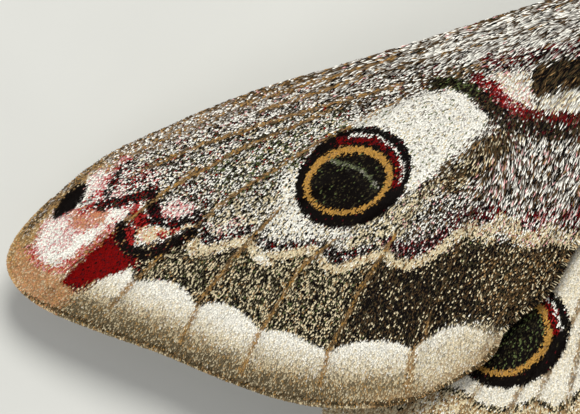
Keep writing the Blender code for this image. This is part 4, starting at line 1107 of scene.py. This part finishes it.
def bodyCoats(skin):
    material = hairFinish("body hair")
    random = np.random.default_rng(41)
    places, upward = rootsOn(skin, hairRoots, random)
    for part, coat in coats.items():
        first, last = coat["reach"]
        here = np.flatnonzero((places[:, 1] >= first) & (places[:, 1] < last))[:coat["count"]]
        if part == "head":
            here = here[clearOfEyes(places[here])]
        roots, normal = places[here], upward[here]
        combed = hairWays["back"] + wandering(roots, *hairWander["all"])
        if part == "head":  # combed forward over the face, and back over the neck
            face = softStep(roots[:, 1:2], hairWays["faceEnds"], hairWays["soft"])
            combed = face * hairWays["face"] + (1 - face) * hairWays["neck"]
            combed += wandering(roots, *hairWander["head"])
        if part == "thorax":
            combed += softStep(roots[:, 1:2], hairWays["collarEnds"], hairWays["soft"]) * hairWays["collar"]
            combed[:, 0] += roots[:, 0] * hairWays["apart"]
            combed += wandering(roots, *hairWander["thorax"])
        along = combed - (combed * normal).sum(1)[:, None] * normal
        heading = unit(along + normal * coat["lift"] + random.normal(0, hairSpread["way"], along.shape))
        long = coat["long"] * random.normal(1, hairSpread["long"], len(here)).clip(0.4, 1.6)
        long *= 1 - hairBelow["shorter"] * softStep(normal[:, 2], hairBelow["from"], hairBelow["over"])
        bend = (along * hairBend["onward"] - normal * hairBend["down"]) * long[:, None]
        heading, bend, long = keptWithin(roots, heading, bend, long)
        wide = coat["wide"] * random.normal(1, hairSpread["wide"], len(here)).clip(0.5, 1.5)
        tips = roots + heading * (long * 0.6)[:, None]
        colours = drawn(bodyShares(tips, normal), hairSpread["even"], random.random(len(here)))
        colours = colours * random.normal(1, hairSpread["tone"], (len(here), 1)).clip(0.6, 1.4)
        mesh = furMesh(part + "Coat", roots, heading, bend, long, wide, colours, roundPlace(roots))
        shown(part + "Coat", mesh, material)
        print(part + "Coat", len(here) * 10, "triangles")


def hairFinish(name):
    finish = Finish(name, Specular_IOR_Level=0.12)
    colour = finish.markingsAndShade()
    strands = finish.noise(5000, 2)
    return finish.feed(Base_Color=finish.tinted(colour, strands, 0.85, 1.12), Roughness=0.55 + strands * 0.2)


# Eyes, legs and antennae
def legPlace(places, strip):
    # a leg opened flat: along it, and round it within a strip of its own
    middle = places.mean(0)
    ahead = np.linalg.svd(places - middle, full_matrices=False)[2][0]
    across = np.cross(ahead, [0, 0, 1])
    across /= np.linalg.norm(across)
    along = (places - middle) @ ahead
    angle = np.arctan2((places - middle) @ across, (places - middle) @ np.cross(across, ahead))
    share = (along - along.min()) / np.ptp(along)
    return np.stack([0.01 + 0.98 * share, (strip + 0.06 + 0.88 * (angle / (2 * math.pi) + 0.5)) / 6], 1)


def buildEyes():
    finish = Finish("eye", Specular_IOR_Level=0.6, Coat_Weight=0.35, Coat_Roughness=0.12)
    facets = finish.node("ShaderNodeTexVoronoi", {"feature": "F1"},
                         {"Vector": finish.places(), "Scale": 1 / 0.00007, "Randomness": 0.15})
    glossy = finish.feed(Base_Color=finish.tinted((0.022, 0.016, 0.012), finish.noise(2500), 0.6, 1.5),
                         Roughness=0.18 + facets * 0.1, Normal=finish.raised(1 - facets, 0.5, 0.00002))
    for node in ("eye_left", "eye_right"):
        low, high = (np.array(corner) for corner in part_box(node))
        bm = bmesh.new()
        bmesh.ops.create_icosphere(bm, subdivisions=5, radius=1)
        bmesh.ops.scale(bm, vec=tuple((high - low) / 2), verts=bm.verts)
        bmesh.ops.translate(bm, vec=tuple((high + low) / 2), verts=bm.verts)
        for face in bm.faces:
            face.smooth = True
        shown(node + "Ball", meshFrom(bm, node + "Ball"), glossy, [node])


antennaCombs = {"pairs": 44, "long": 0.80, "wide": 0.085, "splay": 56, "at": (0.10, 0.97), "droop": 0.12,
                "swell": (0.12, 0.84), "bend": 0.02, "head": (0, -6.5, 5.0), "stretches": 14,
                "colour": (0.30, 0.17, 0.08)}


def midline(node):
    # points along the middle of a thin tube, from the head to its tip
    corners = cornersOf(node.data)
    away = np.linalg.norm(corners - np.array(antennaCombs["head"]), axis=1)
    edges = np.linspace(away.min(), away.max(), antennaCombs["stretches"] + 1)
    groups = [corners[(away >= first) & (away <= last)] for first, last in zip(edges[:-1], edges[1:])]
    return np.array([group.mean(0) for group in groups if len(group)])


def buildCombs(antennae, material):
    # two rows of short teeth along each antenna, longest in its middle
    roots, ways, long = [], [], []
    for node in antennae:
        line = midline(node)
        run = np.concatenate([[0], np.cumsum(np.linalg.norm(np.diff(line, axis=0), axis=1))])
        at = np.linspace(*antennaCombs["at"], antennaCombs["pairs"])
        spots = np.stack([np.interp(at * run[-1], run, line[:, k]) for k in range(3)], 1)
        ahead = unit(np.gradient(spots, axis=0))
        across = unit(np.cross(ahead, [0, 0, 1]))
        splay = math.radians(antennaCombs["splay"])
        start, span = antennaCombs["swell"]
        down = np.array([0, 0, antennaCombs["droop"]])
        for way in (1, -1):
            roots.append(spots)
            ways.append(ahead * math.cos(splay) + across * way * math.sin(splay) - down)
            long.append(antennaCombs["long"] * np.sin(np.pi * (start + span * at)) ** 0.5)
    roots, ways, long = np.vstack(roots), unit(np.vstack(ways)), np.concatenate(long)
    row, place = np.divmod(np.arange(len(roots)), antennaCombs["pairs"])
    spots = np.stack([0.05 + 0.9 * place / antennaCombs["pairs"], 0.1 + 0.2 * row], 1)
    mesh = furMesh("antennaCombs", roots, ways, ways * antennaCombs["bend"], long,
                   np.full(len(roots), antennaCombs["wide"]),
                   np.tile(antennaCombs["colour"], (len(roots), 1)), spots)
    shown("antennaCombs", mesh, material)


def nodesNamed(start, material):
    # the solids that stay in sight, in their own finish
    found = [node for name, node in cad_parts.items() if name.startswith(start)]
    for node in found:
        node.data.materials.clear()
        node.data.materials.append(material)
    return found


def buildAntennae():
    horn = Finish("antenna", Specular_IOR_Level=0.4)
    rings = horn.noise(3000, 3)
    material = horn.feed(Base_Color=horn.tinted((0.27, 0.15, 0.07), rings, 0.5, 1.35),
                         Roughness=0.5 + rings * 0.2, Normal=horn.raised(rings, 0.4, 0.00002))
    buildCombs(nodesNamed("antenna", material), material)


legHair = {
    "perLeg": 1300, "wide": 0.06, "foot": 0.22, "longer": 0.75, "from": 0.5, "over": 2, "spread": 0.2,
    "outward": 0.42, "onward": 0.9, "apart": 0.13, "droop": 0.4, "bend": 0.05, "flatBelow": 0.35,
    "even": 0.15,
    "mix": {"brown": .34, "grey": .24, "olive": .08, "tan": .14, "wine": .06, "pale": .14},
}


def buildLegs():
    skin = Finish("leg", Specular_IOR_Level=0.3)
    fluff = skin.noise(4000, 3, (1, 1, 0.4))
    material = skin.feed(Base_Color=skin.tinted((0.10, 0.065, 0.042), fluff, 0.55, 1.5),
                         Roughness=0.6 + fluff * 0.2, Normal=skin.raised(fluff, 0.5, 0.00004))
    random = np.random.default_rng(57)
    roots, normals, ways, spots = [], [], [], []
    for strip, node in enumerate(nodesNamed("leg", material)):
        bm = bmesh.new()
        bm.from_mesh(node.data)
        bmesh.ops.remove_doubles(bm, verts=bm.verts, dist=1e-6)
        merged = meshFrom(bm, "mergedLeg")
        places, upward = rootsOn(merged, legHair["perLeg"], random)
        bpy.data.meshes.remove(merged)
        outward = places - places.mean(0)
        outward[:, 2] = -np.abs(outward[:, 2]) - legHair["droop"]
        roots.append(places)
        normals.append(upward)
        ways.append(unit(outward))
        spots.append(legPlace(places, strip))
    roots, normals, ways = np.vstack(roots), np.vstack(normals), np.vstack(ways)
    along = ways - (ways * normals).sum(1)[:, None] * normals
    apart = random.normal(0, legHair["apart"], ways.shape)
    heading = unit(normals * legHair["outward"] + along * legHair["onward"] + apart)
    rise = np.clip((roots[:, 2] - legHair["from"]) / legHair["over"], 0, 1)
    longer = legHair["longer"] * rise * random.normal(1, legHair["spread"], len(roots)).clip(0.3, 2)
    low = roots[:, 2] < legHair["flatBelow"]
    heading[low, 2] = np.abs(heading[low, 2])
    shares = np.tile(mixOf(legHair["mix"]), (len(roots), 1))
    colours = drawn(shares, legHair["even"], random.random(len(roots)))
    heading, bend, long = keptWithin(roots, heading, ways * legHair["bend"], legHair["foot"] + longer)
    mesh = furMesh("legCoat", roots, heading, bend, long, np.full(len(roots), legHair["wide"]), colours,
                   np.vstack(spots))
    shown("legCoat", mesh, hairFinish("leg hair"))


# Surroundings
stage = {"floor": 1.6, "lens": 400.0, "sensor": 36.0, "aim": (23.5, 11.1, 5.5),
         "floorColour": (0.62, 0.63, 0.60), "sky": (0.97, 0.97, 1.0, 1), "skyStrength": 0.32}
lamps = {
    "key": {"place": (-0.02, -0.25, 0.34), "size": 0.18, "power": 1.66, "colour": (1.0, 0.98, 0.94)},
    "fill": {"place": (0.26, 0.12, 0.30), "size": 0.35, "power": 0.50, "colour": (1.0, 0.98, 0.95)},
}


def buildStage():
    bm = bmesh.new()
    bmesh.ops.create_grid(bm, x_segments=8, y_segments=8, size=stage["floor"] / 2)
    floor = placed("floor", meshFrom(bm, "floor"))
    finish = Finish("floor", Roughness=0.85)
    grain = finish.noise(60, 4)
    colour = finish.tinted(stage["floorColour"], grain, 0.97, 1.03)
    floor.data.materials.append(finish.feed(Base_Color=colour))
    for name, lamp in lamps.items():
        data = bpy.data.lights.new(name, "AREA")
        data.shape, data.size, data.energy, data.color = "DISK", lamp["size"], lamp["power"], lamp["colour"]
        made = placed(name, data)
        made.location = lamp["place"]
        made.rotation_euler = (-Vector(lamp["place"])).to_track_quat("-Z", "Y").to_euler()
    world = bpy.data.worlds.new("sky")
    world.use_nodes = True
    world.node_tree.nodes["Background"].inputs[0].default_value = stage["sky"]
    world.node_tree.nodes["Background"].inputs[1].default_value = stage["skyStrength"]
    scene.world = world
    scene.view_settings.view_transform = "Standard"


def buildCamera():
    # straight down on the left wing, as in the photograph
    data = bpy.data.cameras.new("camera")
    data.lens, data.sensor_width = stage["lens"], stage["sensor"]
    data.clip_start, data.clip_end = 0.01, 10
    camera = placed("camera", data)
    width = photo["wide"] / photo["pixelsPerMm"] * mm
    distance = width * stage["lens"] / stage["sensor"]
    aim = worldPlaces([stage["aim"]], 1)[0]
    camera.location = (aim[0], aim[1], aim[2] + distance)
    camera.rotation_euler = (0, 0, math.pi)
    scene.camera = camera


buildStage()
buildCamera()
print("stage ready")
buildWings()
print("wings ready")
bodyCoats(bodySkin())
print("body ready")
buildEyes()
buildAntennae()
buildLegs()
print("eyes, antennae and legs ready")
